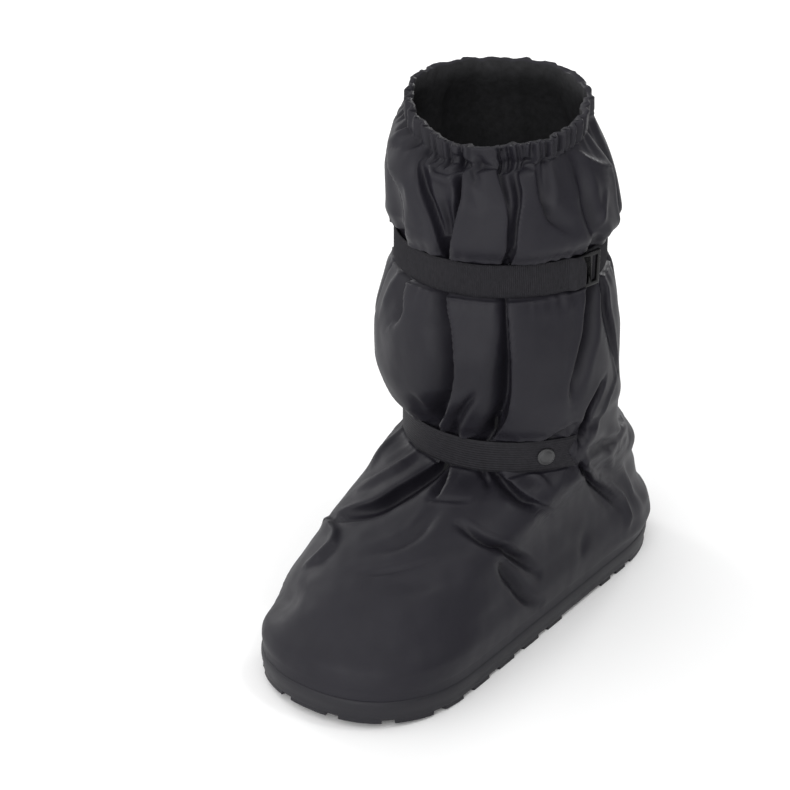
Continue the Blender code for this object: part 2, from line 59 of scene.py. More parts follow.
# Sizes of the solids that the looks follow.
GAP = 0.3
LENGTH = 312.0
BALL_WIDTH = 130.0
END_SHARE = 0.46
TOE_ROUNDNESS = 2.25
HEEL_ROUNDNESS = 2.5
TOE_SPRING = 4.5
TOE_SPRING_Y = -0.20 * LENGTH
HEEL_SPRING = 2.0
HEEL_SPRING_Y = 0.34 * LENGTH
RIM_TOP = 15.0
RIM_WALL = 3.0
TRAY_FLOOR = 8.5
HALF_LENGTH = LENGTH / 2
HALF_WIDTH = BALL_WIDTH / 2
END_LENGTH = HALF_LENGTH * END_SHARE
WALL = 1.6
WEBBING_WIDTH = 20.0
WEBBING_THICKNESS = 1.5
BUCKLE_LIFT = 3.2
BUCKLE_TURN = 81.5
BUCKLE_TILT = math.radians(11)
ANKLE_OUTER_END = 69.0
ANKLE_INNER_END = -128.0
SNAP_TURN = 51.5

# Sections of the upper from the sole up, with the mesh steps from each to the next. Most are ellipses.
Section = namedtuple(
    "Section",
    "front_y front_z back_y back_z side_x half_width steps rise lean end_share toe_round heel_round",
    defaults=(1.0, 0.0, 1.0, 2.0, 2.0),
)
LAST_INSET = RIM_WALL + GAP
LAST_FRONT = LAST_INSET - HALF_LENGTH
LAST_BACK = HALF_LENGTH - LAST_INSET
LAST_HALF = HALF_WIDTH - LAST_INSET
LAST_LOW = TRAY_FLOOR + GAP
LAST_HIGH = RIM_TOP + GAP
SOLE_ENDS = (END_SHARE, TOE_ROUNDNESS, HEEL_ROUNDNESS)
SECTIONS = tuple(Section(*row) for row in (
    (LAST_FRONT, LAST_LOW, LAST_BACK, LAST_LOW, 0, LAST_HALF, 3, 1, 0, *SOLE_ENDS),
    (LAST_FRONT, LAST_HIGH, LAST_BACK, LAST_HIGH, 0, LAST_HALF, 4, 1, 0, *SOLE_ENDS),
    (-154, 20, 155, 20, 0, 64.4, 8, 1, 0, END_SHARE, 2.2, 2.6),
    (-152, 30, 156, 34, -0.5, 65.8, 10, 1, 0, 0.47, 2.1, 2.6),
    (-142, 41.5, 154, 52, -2, 63.5, 14, 1, 0, 0.55, 2.05, 2.2),
    (-128.5, 54, 149.5, 69, -2, 60.5, 22, 1, 0, 0.65, 2.1, 2.1),
    (-106, 67.5, 142.5, 82, -1, 59.5, 32, 1, 0, 0.75, 2.2, 2.12),
    (-72, 80, 136, 91, 0, 61.5, 30, 1, 0, 0.85, 2.18, 2.28),
    (-39, 91.5, 128, 96, 0, 65, 20, 1, 0.015, 0.95, 2.25, 2.25),
    (-15.5, 101.5, 117, 98, 0, 65, 7, 1, 0.03),
    (-15.5, 122.5, 117, 119, 0, 65, 14, 1, 0.03),
    (-26, 136, 115, 134, -3.5, 72.5, 14, 1, 0.015),
    (-34, 155, 113, 155, -5, 74, 14),
    (-34, 176, 113, 176, -5.5, 73.5, 18),
    (-26, 205, 107, 205, -5, 67, 10),
    (-21, 215.5, 101, 215.5, -4.5, 61, 6),
    (-21, 236.5, 101, 236.5, -4.5, 61, 12),
    (-27, 249, 107, 249, -3, 68.5, 15),
    (-28, 270, 108, 273, -6.5, 67, 15),
    (-20, 288, 101, 303, -12.5, 56.5, 9, 0.6),
    (-12.5, 293, 93, 311, -8.5, 53.5, 9, 0.5),
    (-12, 302, 92, 320, -8.5, 53.5, 1, 0.5),
))
ANKLE_SEAT = 9
CALF_SEAT = 15
HEM_SEAT = 20

# Side of the sole from under the waist up and over the rim (inset, height), and the tread: places and sizes as in
# the solid, with the grooves shallower where they run out at the edge.
LUG_ROOT = 5.0
LUG_EDGE = 0.7
LUG_FLARE = 0.7
LUG_EDGE_SHARE = 0.98
LUG_ARC_POINTS = 8
LUG_ROUND = 0.55
NOTCH_HALF = 1.4
NOTCH_DEPTH = 2.8
SOLE_COLUMNS = 220
SOLE_SIDE = (
    (7, 3), (2.4, 2.5), (1.3, 2.1), (0.9, 2.6), (0.75, 5), (0.5, 7), (0.2, 8.6), (0, 10.2), (0, 11.8), (0.1, 13),
    (0.35, 14), (0.8, 14.7), (1.5, RIM_TOP), (RIM_WALL, RIM_TOP), (RIM_WALL, TRAY_FLOOR),
)
Fan = namedtuple("Fan", "end count middle step half_span inner outer")
LUG_FANS = (
    Fan(-1, 5, 1.0, 26.5, 10.2, 0.73, 1.0),
    Fan(-1, 5, 1.0, 25.0, 9.2, 0.46, 0.66),
    Fan(1, 3, 0.0, 50.0, 21.0, 0.50, 1.0),
)
SideRow = namedtuple("SideRow", "side count start_y pitch length inner_x slant")
LUG_SIDE_ROWS = (
    SideRow(1, 5, -105.0, 26.2, 15.5, 38.0, 9.0),
    SideRow(-1, 1, -109.0, 0.0, 31.0, 36.0, 0.0),
    SideRow(-1, 3, -72.0, 25.5, 19.0, 41.0, 2.0),
    SideRow(1, 3, 61.0, 18.0, 11.0, 44.0, 0.0),
    SideRow(-1, 2, 61.0, 26.0, 21.0, 24.0, 0.0),
)
Chevron = namedtuple("Chevron", "x y half_width half_length bend")
LUG_CHEVRONS = tuple(Chevron(*row) for row in (
    (-7.5, -104, 5.5, 8, 0), (-21.5, -83, 7, 6.5, 4), (7, -91, 10, 4.5, -4), (20, -75, 13, 5, 5),
    (-17, -66, 13, 5.5, 6), (17, -55, 12, 5, 5), (-18, -45, 15.5, 6, 7), (21, -37, 11, 5, 5),
    (-1.5, -27, 9.5, 6, 5), (19.5, -17.5, 8.5, 5.5, 5), (-28, -18, 6, 9, 4), (-7, -4, 14.5, 5, 6),
    (-4, 67, 11, 5.5, 5), (-4, 85, 11, 5.5, 5), (-4, 103, 11, 4.5, 5),
    (25, 67, 13, 5.5, 5), (25, 85, 13, 5.5, 5), (25, 103, 13, 4.5, 5),
))

# Creases of the upper. Each is a trough of a depth (negative: a ridge) with a half width on either side and a
# lip beside it. Its path is (turn, height), with a strength and a width factor where they are not 1. Along a path
# that runs down, left and right are the viewer's; along one that runs to the right, right is up. Where one side
# is much sharper than the other, its lip slides over the trough by tuck half widths.
Crease = namedtuple("Crease", "depth left right left_lip right_lip path tuck", defaults=(1.5,))
CREASES = tuple(Crease(*row) for row in (
    # Shaft, between the straps.
    (13, 11, 2.4, 0, 1.4, ((4, 222, 0.7, 0.5), (7.8, 207, 0.8, 0.7), (10.7, 197, 0.9), (13.4, 185),
        (14.5, 173), (13.1, 158), (7.7, 142), (0, 131, 1, 0.9), (-6.4, 119, 0.9, 0.8))),
    (6, 2.6, 2.6, 0.6, 0.6, ((24.6, 161, 0.1), (20.2, 152, 0.8), (13.2, 139), (4, 125), (0, 118, 0.8))),
    (14, 10, 2.3, 0, 0.2, ((37.4, 222, 0.4, 0.4), (38.6, 202, 0.5, 0.45), (39.9, 190, 0.7, 0.65),
        (41.2, 176, 0.95, 0.9), (41, 162), (39.3, 149), (34.6, 138, 1, 0.9), (26.2, 127, 1, 0.8),
        (21, 119, 0.8, 0.7)), 2.1),
    (11, 3.2, 4.4, 1, 0.7, ((92, 218, 0.8), (83.6, 202), (80.8, 189), (76.9, 177, 0.9), (74.3, 167, 0.7),
        (72.3, 159, 0.4), (71.2, 148, 0.1))),
    (4.5, 6, 1.9, 0, 1.3, ((99.6, 216, 0.6), (98.4, 198), (101.3, 181, 0.9), (107, 161, 0.6), (111, 150, 0.2))),
    (-1.6, 2, 2.8, 0, 0, ((101, 176, 0.2), (106, 159), (107, 149), (93.7, 139), (82, 125), (74, 116, 0.4))),
    (10, 3, 1.6, 0.3, 0.8, ((93.4, 154, 0.1), (86.3, 145.8, 0.9), (79.6, 137.4), (74.2, 124.5),
        (71.2, 119, 0.7), (70, 116.5, 0.2))),
    (5, 2.6, 3.6, 0.5, 0.4, ((70, 132, 0.1), (61.4, 130.5, 0.8), (55.6, 126.4), (49, 120.5, 0.8))),
    (6.5, 6.5, 3, 0, 0.8, ((-27, 222, 0.8), (-21.5, 208), (-19, 197, 0.9), (-24.8, 188, 0.2))),
    (-2.4, 3.5, 4.5, 0, 0, ((-33, 212, 0.5), (-35.7, 198), (-38.7, 188, 0.4))),
    (1.6, 5, 5, 0, 0, ((68, 214, 0.6), (60, 202, 0.6), (57.3, 192, 0.1))),
    (5, 7, 5.5, 0, 0, ((-10.6, 150, 0.1), (-8, 138, 0.7), (-11, 121))),
    (6, 7, 4, 0, 0.8, ((-46, 222, 0.8), (-50, 196, 0.8), (-54, 160, 0.6), (-56, 122))),
    (6.5, 5, 6.5, 0.6, 0, ((-92, 222, 0.9), (-90, 190), (-97, 155, 0.8), (-96, 120))),
    (6.5, 6.5, 3.5, 0, 0.8, ((-138, 222, 0.9), (-143, 188), (-138, 156, 0.9), (-140, 132, 0.6),
        (-137, 110, 0.05))),
    (6.5, 4, 6.5, 0.8, 0, ((172, 222, 0.9), (168, 188), (171, 154, 0.8), (169, 130, 0.5), (172, 108, 0.05))),
    (6.5, 6, 4, 0, 0.8, ((131, 222, 0.9), (127, 190), (131, 154, 0.9), (129, 130, 0.6), (126, 110, 0.05))),
    (3, 4, 4, 0.3, 0.3, ((-116, 214, 0.7), (-112, 196, 0.7), (-118, 180, 0.1))),
    (3, 4, 4, 0.3, 0.3, ((150, 150, 0.1), (152, 136, 0.8), (147, 120, 0.8))),
    # Shaft, over the calf strap.
    (9.5, 5.4, 5.4, 0.5, 0.5, ((6.5, 287, 0.1, 1.3), (6.3, 279, 0.4, 1.4), (5.6, 268, 0.7, 1.1),
        (4.6, 252, 1, 0.9), (4.6, 230, 1, 0.7))),
    (7.5, 2.2, 5, 0.5, 0, ((-8, 290, 0.3), (-5, 280, 0.8), (-2.4, 266), (0.8, 250), (4, 230, 0.8))),
    (9, 4, 2, 0, 1.2, ((10.8, 294, 0.3), (18.5, 288, 0.6), (17.5, 279), (13.5, 268), (8, 250),
        (5.2, 230, 0.8))),
    (-2.2, 1.7, 3, 0, 0, ((-1.5, 287, 0.4), (2.2, 284), (6.3, 283.2), (10.4, 282.6), (14.7, 284.5),
        (18.7, 288.6, 0.4))),
    (3, 2.4, 3.2, 0, 0, ((-0.7, 289, 0.4), (5.2, 287), (10.5, 287), (15.9, 290, 0.4))),
    (5, 3.2, 5, 0.4, 0, ((36.8, 296, 0.3), (39.2, 289, 0.8), (39.2, 279), (38.6, 267, 0.9),
        (37.2, 255, 0.7), (36.1, 230, 0.5))),
    (6.5, 6, 2.5, 0, 0.4, ((48.4, 291, 0.4), (47.9, 282, 0.9), (45.6, 274), (41.6, 260), (37.2, 230, 0.9)), 2.1),
    (-3.4, 3.2, 8.5, 0, 0, ((-31, 304, 0.3), (-36, 294, 0.7), (-39.9, 287, 0.8), (-34.5, 283),
        (-21.8, 279.4), (-13.6, 273.5), (-13, 264, 0.9), (-14.9, 252, 0.4))),
    (8, 10, 2.4, 0, 0.8, ((-38, 281, 0.2), (-29, 275.5, 0.7), (-21.5, 269), (-19.5, 257), (-21, 243),
        (-22, 230, 0.8))),
    (6, 12, 9, 0, 0.4, ((-50, 290, 0.2), (-43, 280, 0.7), (-37, 268), (-34, 255), (-33, 240, 0.9),
        (-34, 230, 0.7))),
    (4.6, 2.6, 5, 0, 0.9, ((62, 292, 0.2), (58.2, 282, 0.8), (55.8, 272.7), (56.8, 266, 0.9),
        (60, 262, 0.6), (65.3, 257.6, 0.4), (71, 254.4, 0.1))),
    (6, 5, 4.4, 0, 0.6, ((85.5, 289, 0.2), (83.7, 278.5, 0.8), (82.4, 267.6), (83.5, 255), (90, 240, 0.9))),
    (-1.8, 1.8, 2.2, 0, 0, ((86.7, 293.3, 0.4), (93.5, 286.7), (103.4, 280.3), (113, 277, 0.3))),
    (-1.8, 2, 2.6, 0, 0, ((98, 268, 0.3), (90, 258), (86, 250), (91, 239, 0.5))),
    (2.2, 2.2, 2.2, 0.3, 0.3, ((20, 298, 0.2), (24.8, 291), (26.6, 286.6), (27.3, 282, 0.2))),
    (1.2, 3, 3, 0, 0, ((23.4, 281, 0.4), (24.8, 274.6, 0.8), (25, 267, 0.1))),
    (3.2, 1.8, 2.6, 0, 0.4, ((65, 292, 0.6), (61.3, 282.5), (60, 276, 0.2))),
    (3, 2.4, 2.6, 0, 0, ((46, 290, 0.5), (52.6, 290), (58.5, 289.6, 0.5))),
    (5, 6, 4, 0, 0.7, ((-62, 230, 0.9), (-66, 250), (-60, 272, 0.8), (-64, 296, 0.2))),
    (6, 4, 6, 0.7, 0, ((-100, 230), (-96, 252), (-101, 276, 0.8), (-95, 304, 0.2))),
    (6, 6, 4, 0, 0.7, ((-150, 230), (-146, 254), (-151, 278, 0.8), (-144, 308, 0.2))),
    (6, 4, 6, 0.7, 0, ((158, 230), (154, 254), (158, 280, 0.8), (152, 308, 0.2))),
    (5.6, 6, 4, 0, 0.7, ((118, 230), (114, 252), (118, 276, 0.7), (111, 304, 0.2))),
    # Vamp, below the ankle strap.
    (11, 3.6, 10, 1.8, 0, ((-6, 104, 0.9, 0.6), (-7.7, 99, 1, 0.7), (-10.6, 94.3, 1, 0.9), (-14.7, 89.2),
        (-17.9, 84.4, 0.8), (-25, 79.4, 0.5), (-34.4, 73.2, 0.1))),
    (-3, 4, 4, 0, 0, ((-21.8, 98, 0.6), (-26.1, 90.6), (-35.8, 82, 0.4))),
    (-2.4, 3, 3, 0, 0, ((-51, 96, 0.5), (-47, 90.8), (-43.1, 86, 0.3))),
    (5.5, 4.4, 1.9, 0, 0.9, ((0, 104), (2.2, 98), (4.6, 94.5, 0.8), (5.2, 90.8, 0.1))),
    (4, 2.2, 1.7, 0, 0.8, ((17, 104), (19.5, 100.5), (23.1, 98.3, 0.8), (26, 96, 0.1))),
    (8, 6, 3.6, 0, 0.8, ((24, 103, 0.7, 0.6), (30, 99.6, 0.8, 0.8), (38, 96.8), (49.9, 92.3, 0.9),
        (62, 86, 0.5), (79.6, 77, 0.1))),
    (-1.6, 2, 2, 0, 0, ((43, 102, 0.6), (50, 98.5), (58, 94.5, 0.4))),
    (7, 3, 2.2, 0.3, 0.7, ((23, 85.8, 0.2), (29, 83.7, 0.7), (36.1, 81, 0.9), (46, 77.4), (55.5, 73.4),
        (66, 65, 0.9), (73, 58.4, 0.8), (82, 45, 0.2))),
    (6, 4.2, 3.2, 0.5, 0.6, ((56.5, 69, 0.1), (63, 59.5, 0.8), (69, 50), (76, 36), (83, 25, 0.2))),
    (1.6, 2.6, 2, 0.3, 0.3, ((2, 68.2, 0.2), (10.4, 71.3), (21, 75, 0.2))),
    (2.4, 4, 4, 0.3, 0.3, ((9.7, 88, 0.3), (9.3, 82.7), (6.6, 78.8), (-2.5, 73.2, 0.2))),
    (1.4, 1.9, 1.9, 0.5, 0, ((3.5, 90.5, 0.3), (11.6, 91.6), (19.5, 92.7, 0.3))),
    (2.2, 8, 8, 0, 0, ((8, 68.6, 0.2), (21.7, 69.2), (33.3, 68.8), (44, 69, 0.1))),
    (-3.6, 4, 2.6, 0, 0, ((-42, 67.7, 0.5), (-31, 71.5, 0.9), (-23.3, 72.5), (-18.7, 70), (-18.9, 65.8),
        (-21.5, 61, 0.5))),
    (-1.3, 1.8, 1.8, 0, 0, ((-31, 72.5, 0.3), (-20.4, 77.1), (-13, 80.8, 0.2))),
    (5.4, 10, 10, 0, 0, ((-12, 52, 0.1), (-18, 47, 0.7), (-24, 43.5), (-32, 38, 0.8), (-42, 33, 0.1))),
    (-2, 7, 7, 0, 0, ((-8, 24, 0.1), (-16, 25, 0.8), (-24, 25), (-34, 23, 0.1))),
    # Heel.
    (6.8, 2.5, 1.6, 0, 1.8, ((71.5, 103.5, 0.3), (74, 100.5, 0.9), (78.8, 97), (96, 87.5), (113, 75.5, 0.9),
        (123, 59, 0.6), (127, 47, 0.2))),
    (2, 3, 3, 0, 0.4, ((90, 88, 0.2), (109.4, 77, 0.7), (118.5, 61), (122.6, 47, 0.2))),
    (4, 3.2, 4, 0.6, 0.6, ((74, 110, 0.1), (80, 108.2, 0.9), (88, 106.3), (100, 101.8, 0.8),
        (113, 96.6, 0.4), (127, 91, 0.1))),
    (-3, 2.6, 3.2, 0, 0, ((117, 76, 0.3), (126.5, 60, 0.9), (130.4, 47), (130, 39), (128.5, 31, 0.3))),
    (-2.6, 4, 4, 0, 0, ((104, 94.5, 0.3), (121, 81), (134.3, 65.2), (136.5, 49, 0.9), (138, 32, 0.2))),
    (4, 9, 9, 0, 0, ((136, 50, 0.1), (147, 45, 0.7), (157, 41), (168, 40, 0.8), (178, 40, 0.1))),
    (2.6, 6, 6, 0, 0, ((132, 100, 0.2), (142, 97), (152, 95), (165, 94, 0.3))),
    (-2.4, 6, 6, 0, 0, ((118, 26, 0.1), (132, 23, 0.8), (145, 21), (158, 22, 0.6), (170, 24, 0.1))),
    (-6, 9, 9, 0, 0, ((116, 90, 0.1), (128, 83, 0.6), (138, 79, 0.9), (149, 75), (162, 73, 0.6),
        (174, 72, 0.1))),
    (-2.2, 3.4, 3.4, 0, 0, ((101, 110, 0.3), (113, 104.5), (126, 99, 0.6))),
    (1.5, 4, 4, 0, 0, ((108, 50, 0.2), (105.8, 41.5), (103, 34, 0.2))),
    (4.2, 5.5, 4.5, 0, 0.6, ((-76, 103, 0.8), (-90, 92), (-109, 79), (-122, 60, 0.4), (-126, 46, 0.1))),
    (3.4, 4.4, 4.6, 0.5, 0.5, ((-132, 99, 0.4), (-116, 99), (-98, 104), (-80, 107, 0.6))),
    (2.6, 5.2, 4.6, 0.4, 0.4, ((-52, 62, 0.1), (-63, 50), (-72, 37, 0.8), (-78, 28, 0.1))),
    (3, 5, 4, 0.4, 0.4, ((158, 94, 0.3), (170, 96.5), (-176, 96.5), (-164, 95, 0.3))),
    (2, 4, 4, 0.3, 0.3, ((176, 84, 0.1), (171, 66), (174, 48, 0.1))),
))

# Pleats of the gathered hem: turn at the top edge and at the lower end, depth, and half width in degrees. They
# reach down over some sections, fade out from a share of that reach on, and have lips beside them.
Pleat = namedtuple("Pleat", "high_turn low_turn depth half_width")
PLEATS = tuple(Pleat(*row) for row in (
    (-66, -63, 1.4, 2.4), (-57, -53, 2.2, 1.8), (-50, -47.5, 1.2, 1.4), (-42, -38, 2, 2), (-33, -31, 1, 2.2),
    (-24, -21, 1.6, 1.8), (-15, -9, 2.6, 2.2), (-8.5, -2, 2.4, 1.4), (-2.5, 1.5, 1.4, 1.2), (2, 6.6, 3, 1.9),
    (7.4, 9.6, 1.4, 1.1), (11, 14.3, 3, 1.7), (18, 19, 0.6, 2.4), (33, 38, 2.2, 1.2), (36.6, 41, 1.4, 1),
    (40, 44.6, 2.6, 1.6), (45.8, 50.6, 1.8, 1.1), (49.8, 52, 2.2, 1.4), (55.2, 53.6, 3, 2),
    (60.4, 61.4, 2.2, 1.2), (64.6, 65.6, 2.8, 1.6), (69.5, 68.6, 1.4, 1), (74.6, 72.6, 3, 1.9),
    (80.2, 77.4, 1.6, 1.2), (84.4, 81.5, 2.6, 1.5), (91, 88.3, 2.2, 2), (98.5, 97, 2.4, 1.6),
))
PLEAT_REACH = 2.2
PLEAT_FADE = 0.45
PLEAT_LIP = 0.35
PLEAT_LIP_PLACE = 2.0

# How creases are drawn: points on each leg of a path, how far they reach and where their lips stand, in half
# widths, and the same for tucks: from which unevenness of the sides and up to which depth, place and width.
PATH_STEPS = 14
CREASE_REACH = 3.2
LIP_PLACE = 1.9
LIP_WIDTH = 0.8
TUCK_FROM = 1.5
TUCK_DEPTH = 5.0
TUCK_PLACE = 1.15
TUCK_SHARE = 0.4
TUCK_WIDTH = 0.8
TROUGH_POWER = 4

# Fine mesh of the upper. A span is a turn, the turns over which it fades in, and the same for its far end.
COLUMNS = 296
FINE_TURNS = 3601
DENSE_SPAN = (-105.0, 50.0, 155.0, 50.0)
DENSE_GAIN = 2.1
INNER_ROWS = 30
INNER_SPREAD = 3
CLOTH_GIRTH = 430.0

# Collar: how much lower it is at the front than in the solid, its wall, its rolled edge (inwards, up), the span of
# its listed pleats and the line of stitches under it.
HEM_DROP = 3.5
HEM_LEAN = 0.13
HEM_DROP_FROM = 18.0
HEM_DROP_FADE = 2.0
HEM_AHEAD = 1.4
HEM_AHEAD_TURN = 130.0
HEM_WALL = 2.4
HEM_EDGE = ((0.35, 0.5), (1.1, 0.8), (1.9, 0.5))
PLEATED_SPAN = (-78.0, 16.0, 104.0, 10.0)
PLEATED_CALM = 0.8
HEM_LINE_DEPTH = 0.45
HEM_LINE_WIDTH = 0.9

# Unevenness of the cloth: size of the bumps along x, y and z, seed and height.
Bumps = namedtuple("Bumps", "size seed height")
SHAFT_BUMPS = Bumps((26.0, 26.0, 70.0), 3.7, 1.5)
FOOT_BUMPS = Bumps((42.0, 48.0, 30.0), 9.1, 0.6)
SMALL_BUMPS = Bumps((9.0, 9.0, 14.0), 1.3, 0.3)
SHAFT_FROM = 95.0
SHAFT_FADE = 25.0

# Small gathers beside a strap and under the hem: pitch, seed, depth, and reach and power of their fade. The edge of
# the hem also rises and falls.
Gathers = namedtuple("Gathers", "pitch seed depth reach power")
ANKLE_GATHERS = Gathers(4.2, 2.0, 0.9, 7.0, 1.4)
CALF_GATHERS = Gathers(4.2, 3.0, 0.9, 7.0, 1.4)
HEM_GATHERS = Gathers(5.0, 7.7, 1.6, 11.0, 1.5)
HEM_GATHERS_FROM = HEM_SEAT - 2
RUFFLE_PITCH = 6.5
RUFFLE_SEED = 5.1
RUFFLE_RISE = 0.9
GATHER_GRAIN = 6.0
GATHER_GAIN = 1.8

# Straps on the cloth: seat, span that they cover, gathers, and bulges of the cloth below and above them.
Band = namedtuple("Band", "seat span gathers bulge_below bulge_above")
BANDS = (
    Band(ANKLE_SEAT, (ANKLE_INNER_END, 6.0, ANKLE_OUTER_END, 6.0), ANKLE_GATHERS, 2.0, 4.0),
    Band(CALF_SEAT, None, CALF_GATHERS, 5.0, 5.0),
)
BULGE_START = 1.4
BULGE_REACH = 9.0
BAND_FADE = 1.5
HELD_SHARE = 0.6

# Lap of cloth over the outer end of the ankle strap: its edge is a notch, furthest forward above and below.
LAP_TURN = 62.6
LAP_NOTCH = 6.0
LAP_RISE = 3.4
LAP_EDGE = 1.8
LAP_END = 96.0
LAP_END_FADE = 22.0
LAP_REACH = 1.7
LAP_REACH_FADE = 0.9

# Foot of the upper, in sections: where creases fade in, and where the cloth rolls over the sole's rim, outwards and
# down, a little more at the outer side.
FREE_FROM = 1.2
FREE_FADE = 1.3
ROLL_FROM = 1.0
ROLL_TO = 2.0
ROLL_FADE = 0.75
ROLL_OUT = (2.5, 0.4)
ROLL_DOWN = (2.0, 0.35)
ROLL_SPAN = (18.0, 30.0, 165.0, 25.0)

# Webbing: the calf strap has ribs across it, the ankle strap along it.
CALF_STATIONS = 720
CALF_RIB_HEIGHT = 0.30
ANKLE_STATIONS = 200
ANKLE_RIBS = 13
ANKLE_RIB_HEIGHT = 0.28
RIB_STEPS = 5
PLAIN_STEPS = 12
WEBBING_CLEAR = 0.15
WEBBING_EDGE = 0.55
WEBBING_EDGE_POWER = 14
WEBBING_WAVE = 0.5
WEBBING_WAVE_PITCH = 0.05
WEBBING_WAVE_SEED = 0.3

# The slide buckle is drawn in from its solid and set upright. The calf strap climbs over its front bar and dives
# under its middle bar: turn, lift.
BUCKLE_LEAN = math.radians(8)
BUCKLE_SCALE = (0.72, 0.88, 1.0)
BUCKLE_SLIDE = -2.6
BUCKLE_RISE = 0.8
BUCKLE_ROUND = 0.5
BUCKLE_CLIMB = (
    (69.5, 0.0), (72.5, 0.9), (75.0, BUCKLE_LIFT), (78.0, BUCKLE_LIFT), (82.0, BUCKLE_LIFT),
    (83.4, 2.1), (84.6, 0.8), (85.6, 0.0),
)

# The snap's cap: radius and height of its profile.
SNAP_PROFILE = (
    (5.0, 0.0), (5.35, 0.25), (5.4, 0.6), (5.1, 1.0), (4.6, 1.15), (4.35, 1.1), (4.1, 1.25), (3.4, 1.62),
    (2.4, 1.9), (1.2, 2.04), (0.35, 2.08),
)
SNAP_SIDES = 48
SOLE_SHARP = math.radians(40)
STRAP_SHARP = math.radians(50)
MERGE = 1e-5
FLAT_ANGLE = math.radians(2)

# Tones of the materials: scale, detail and roughness of a noise, its values from dark to light, and both colours.
Tone = namedtuple("Tone", "scale detail roughness low high dark light")
FABRIC_TONE = Tone(9.0, 4.0, 0.55, 0.25, 0.75, (0.0080, 0.0073, 0.0113), (0.0121, 0.0111, 0.0165))
LINING_TONE = Tone(240.0, 3.0, 0.6, 0.3, 0.7, (0.016, 0.016, 0.017), (0.026, 0.026, 0.028))
WEBBING_TONE = Tone(420.0, 3.0, 0.65, 0.3, 0.7, (0.0086, 0.0081, 0.0105), (0.0152, 0.0144, 0.0180))
RUBBER_TONE = Tone(34.0, 6.0, 0.62, 0.3, 0.72, (0.0084, 0.0078, 0.0113), (0.0126, 0.0118, 0.0163))
PLASTIC_TONE = Tone(300.0, 3.0, 0.5, 0.3, 0.7, (0.005, 0.005, 0.0055), (0.007, 0.007, 0.0075))
CAP_TONE = Tone(300.0, 3.0, 0.5, 0.3, 0.7, (0.030, 0.030, 0.032), (0.037, 0.037, 0.039))
THREAD_SCALE = 0.62
FLOOR_TONE = Tone(3.0, 2.0, 0.5, 0.3, 0.7, (0.97, 0.97, 0.97), (0.98, 0.98, 0.98))

# The photograph's view: place over the middle of the sole in metres, bearing and height in degrees, lens.
CAMERA_PLACE = (0.60933, -0.88658, 0.69169)
CAMERA_BEARING = 36.727
CAMERA_DOWN = 27.133
CAMERA_LENS = 92.80
CAMERA_SENSOR = 36.0
CAMERA_CLIP = 20.0

# Studio, in metres: lamps, each aimed at a height over the origin, and the dome: direction of its bright side, places
# along that direction where it is darkest and brightest, and both strengths.
Lamp = namedtuple("Lamp", "name place aim_height size power")
LAMPS = (
    Lamp("key", (0.7, -2.4, 0.9), 0.15, 3.0, 28.0),
    Lamp("right_rim", (-0.3, 2.2, 0.8), 0.12, 0.5, 12.0),
    Lamp("top_spark", (0.7, 0.4, 1.9), 0.2, 0.25, 4.0),
    Lamp("left_rim", (-1.9, 0.4, 0.8), 0.12, 0.6, 8.0),
)
DOME_WAY = (-0.30, -0.60, 0.74)
DOME_RANGE = (-0.6, 1.0, 0.17, 1.2)
FLOOR_REACH = 6.0


def smooth_step(t):
    t = np.clip(t, 0.0, 1.0)
    return t * t * (3 - 2 * t)


def within(turns, span):
    """1 inside a span of turns, easing to 0 at its ends."""
    start, start_fade, end, end_fade = span
    return smooth_step((turns - start) / start_fade) * smooth_step((end - turns) / end_fade)


def spring(y):
    """Height that the spring of the toe and the heel adds at a place along the sole."""
    toe = np.clip((TOE_SPRING_Y - y) / (TOE_SPRING_Y + HALF_LENGTH), 0.0, 1.0)
    heel = np.clip((y - HEEL_SPRING_Y) / (HALF_LENGTH - HEEL_SPRING_Y), 0.0, 1.0)
    return TOE_SPRING * toe**2 + HEEL_SPRING * heel**2


def round_end(half_width, end, roundness):
    """A quarter of a superellipse, from its tip on the centre line to the side."""
    angle = np.linspace(math.pi / 2, 0.0, ARC_POINTS)
    across = half_width * np.abs(np.cos(angle)) ** (2 / roundness)
    along = end * np.abs(np.sin(angle)) ** (2 / roundness)
    return across, along


def outline(front_y, back_y, half_width, ends, turns):
    """Plan of a closed section at some turns, which run evenly with the girth of each side."""
    end_share, toe_round, heel_round = ends
    end = (back_y - front_y) / 2 * end_share
    heel_x, heel_along = round_end(half_width, end, heel_round)
    toe_x, toe_along = round_end(half_width, end, toe_round)
    x = np.concatenate((heel_x, toe_x[::-1]))
    y = np.concatenate((back_y - end + heel_along, front_y + end - toe_along[::-1]))
    travelled = np.concatenate(([0.0], np.cumsum(np.hypot(np.diff(x), np.diff(y)))))
    stops = (1.0 - np.abs(turns) / 180.0) * travelled[-1]
    return np.column_stack((np.sign(turns) * np.interp(stops, travelled, x), np.interp(stops, travelled, y)))


def eased_rows(table, positions):
    """The columns of a table between its rows, eased with no overshoot."""
    values = np.array(table, float)
    change = np.diff(values, axis=0)
    before, after = change[:-1], change[1:]
    same_way = before * after > 0
    slope = np.vstack((change[:1], np.zeros_like(before), change[-1:]))
    slope[1:-1][same_way] = (2 * before * after)[same_way] / (before + after)[same_way]
    row = np.minimum(positions.astype(int), len(values) - 2)
    t = (positions - row)[:, None]
    start = (1 + 2 * t) * (1 - t) ** 2 * values[row] + t * (1 - t) ** 2 * slope[row]
    finish = t**2 * (3 - 2 * t) * values[row + 1] - t**2 * (1 - t) * slope[row + 1]
    return start + finish


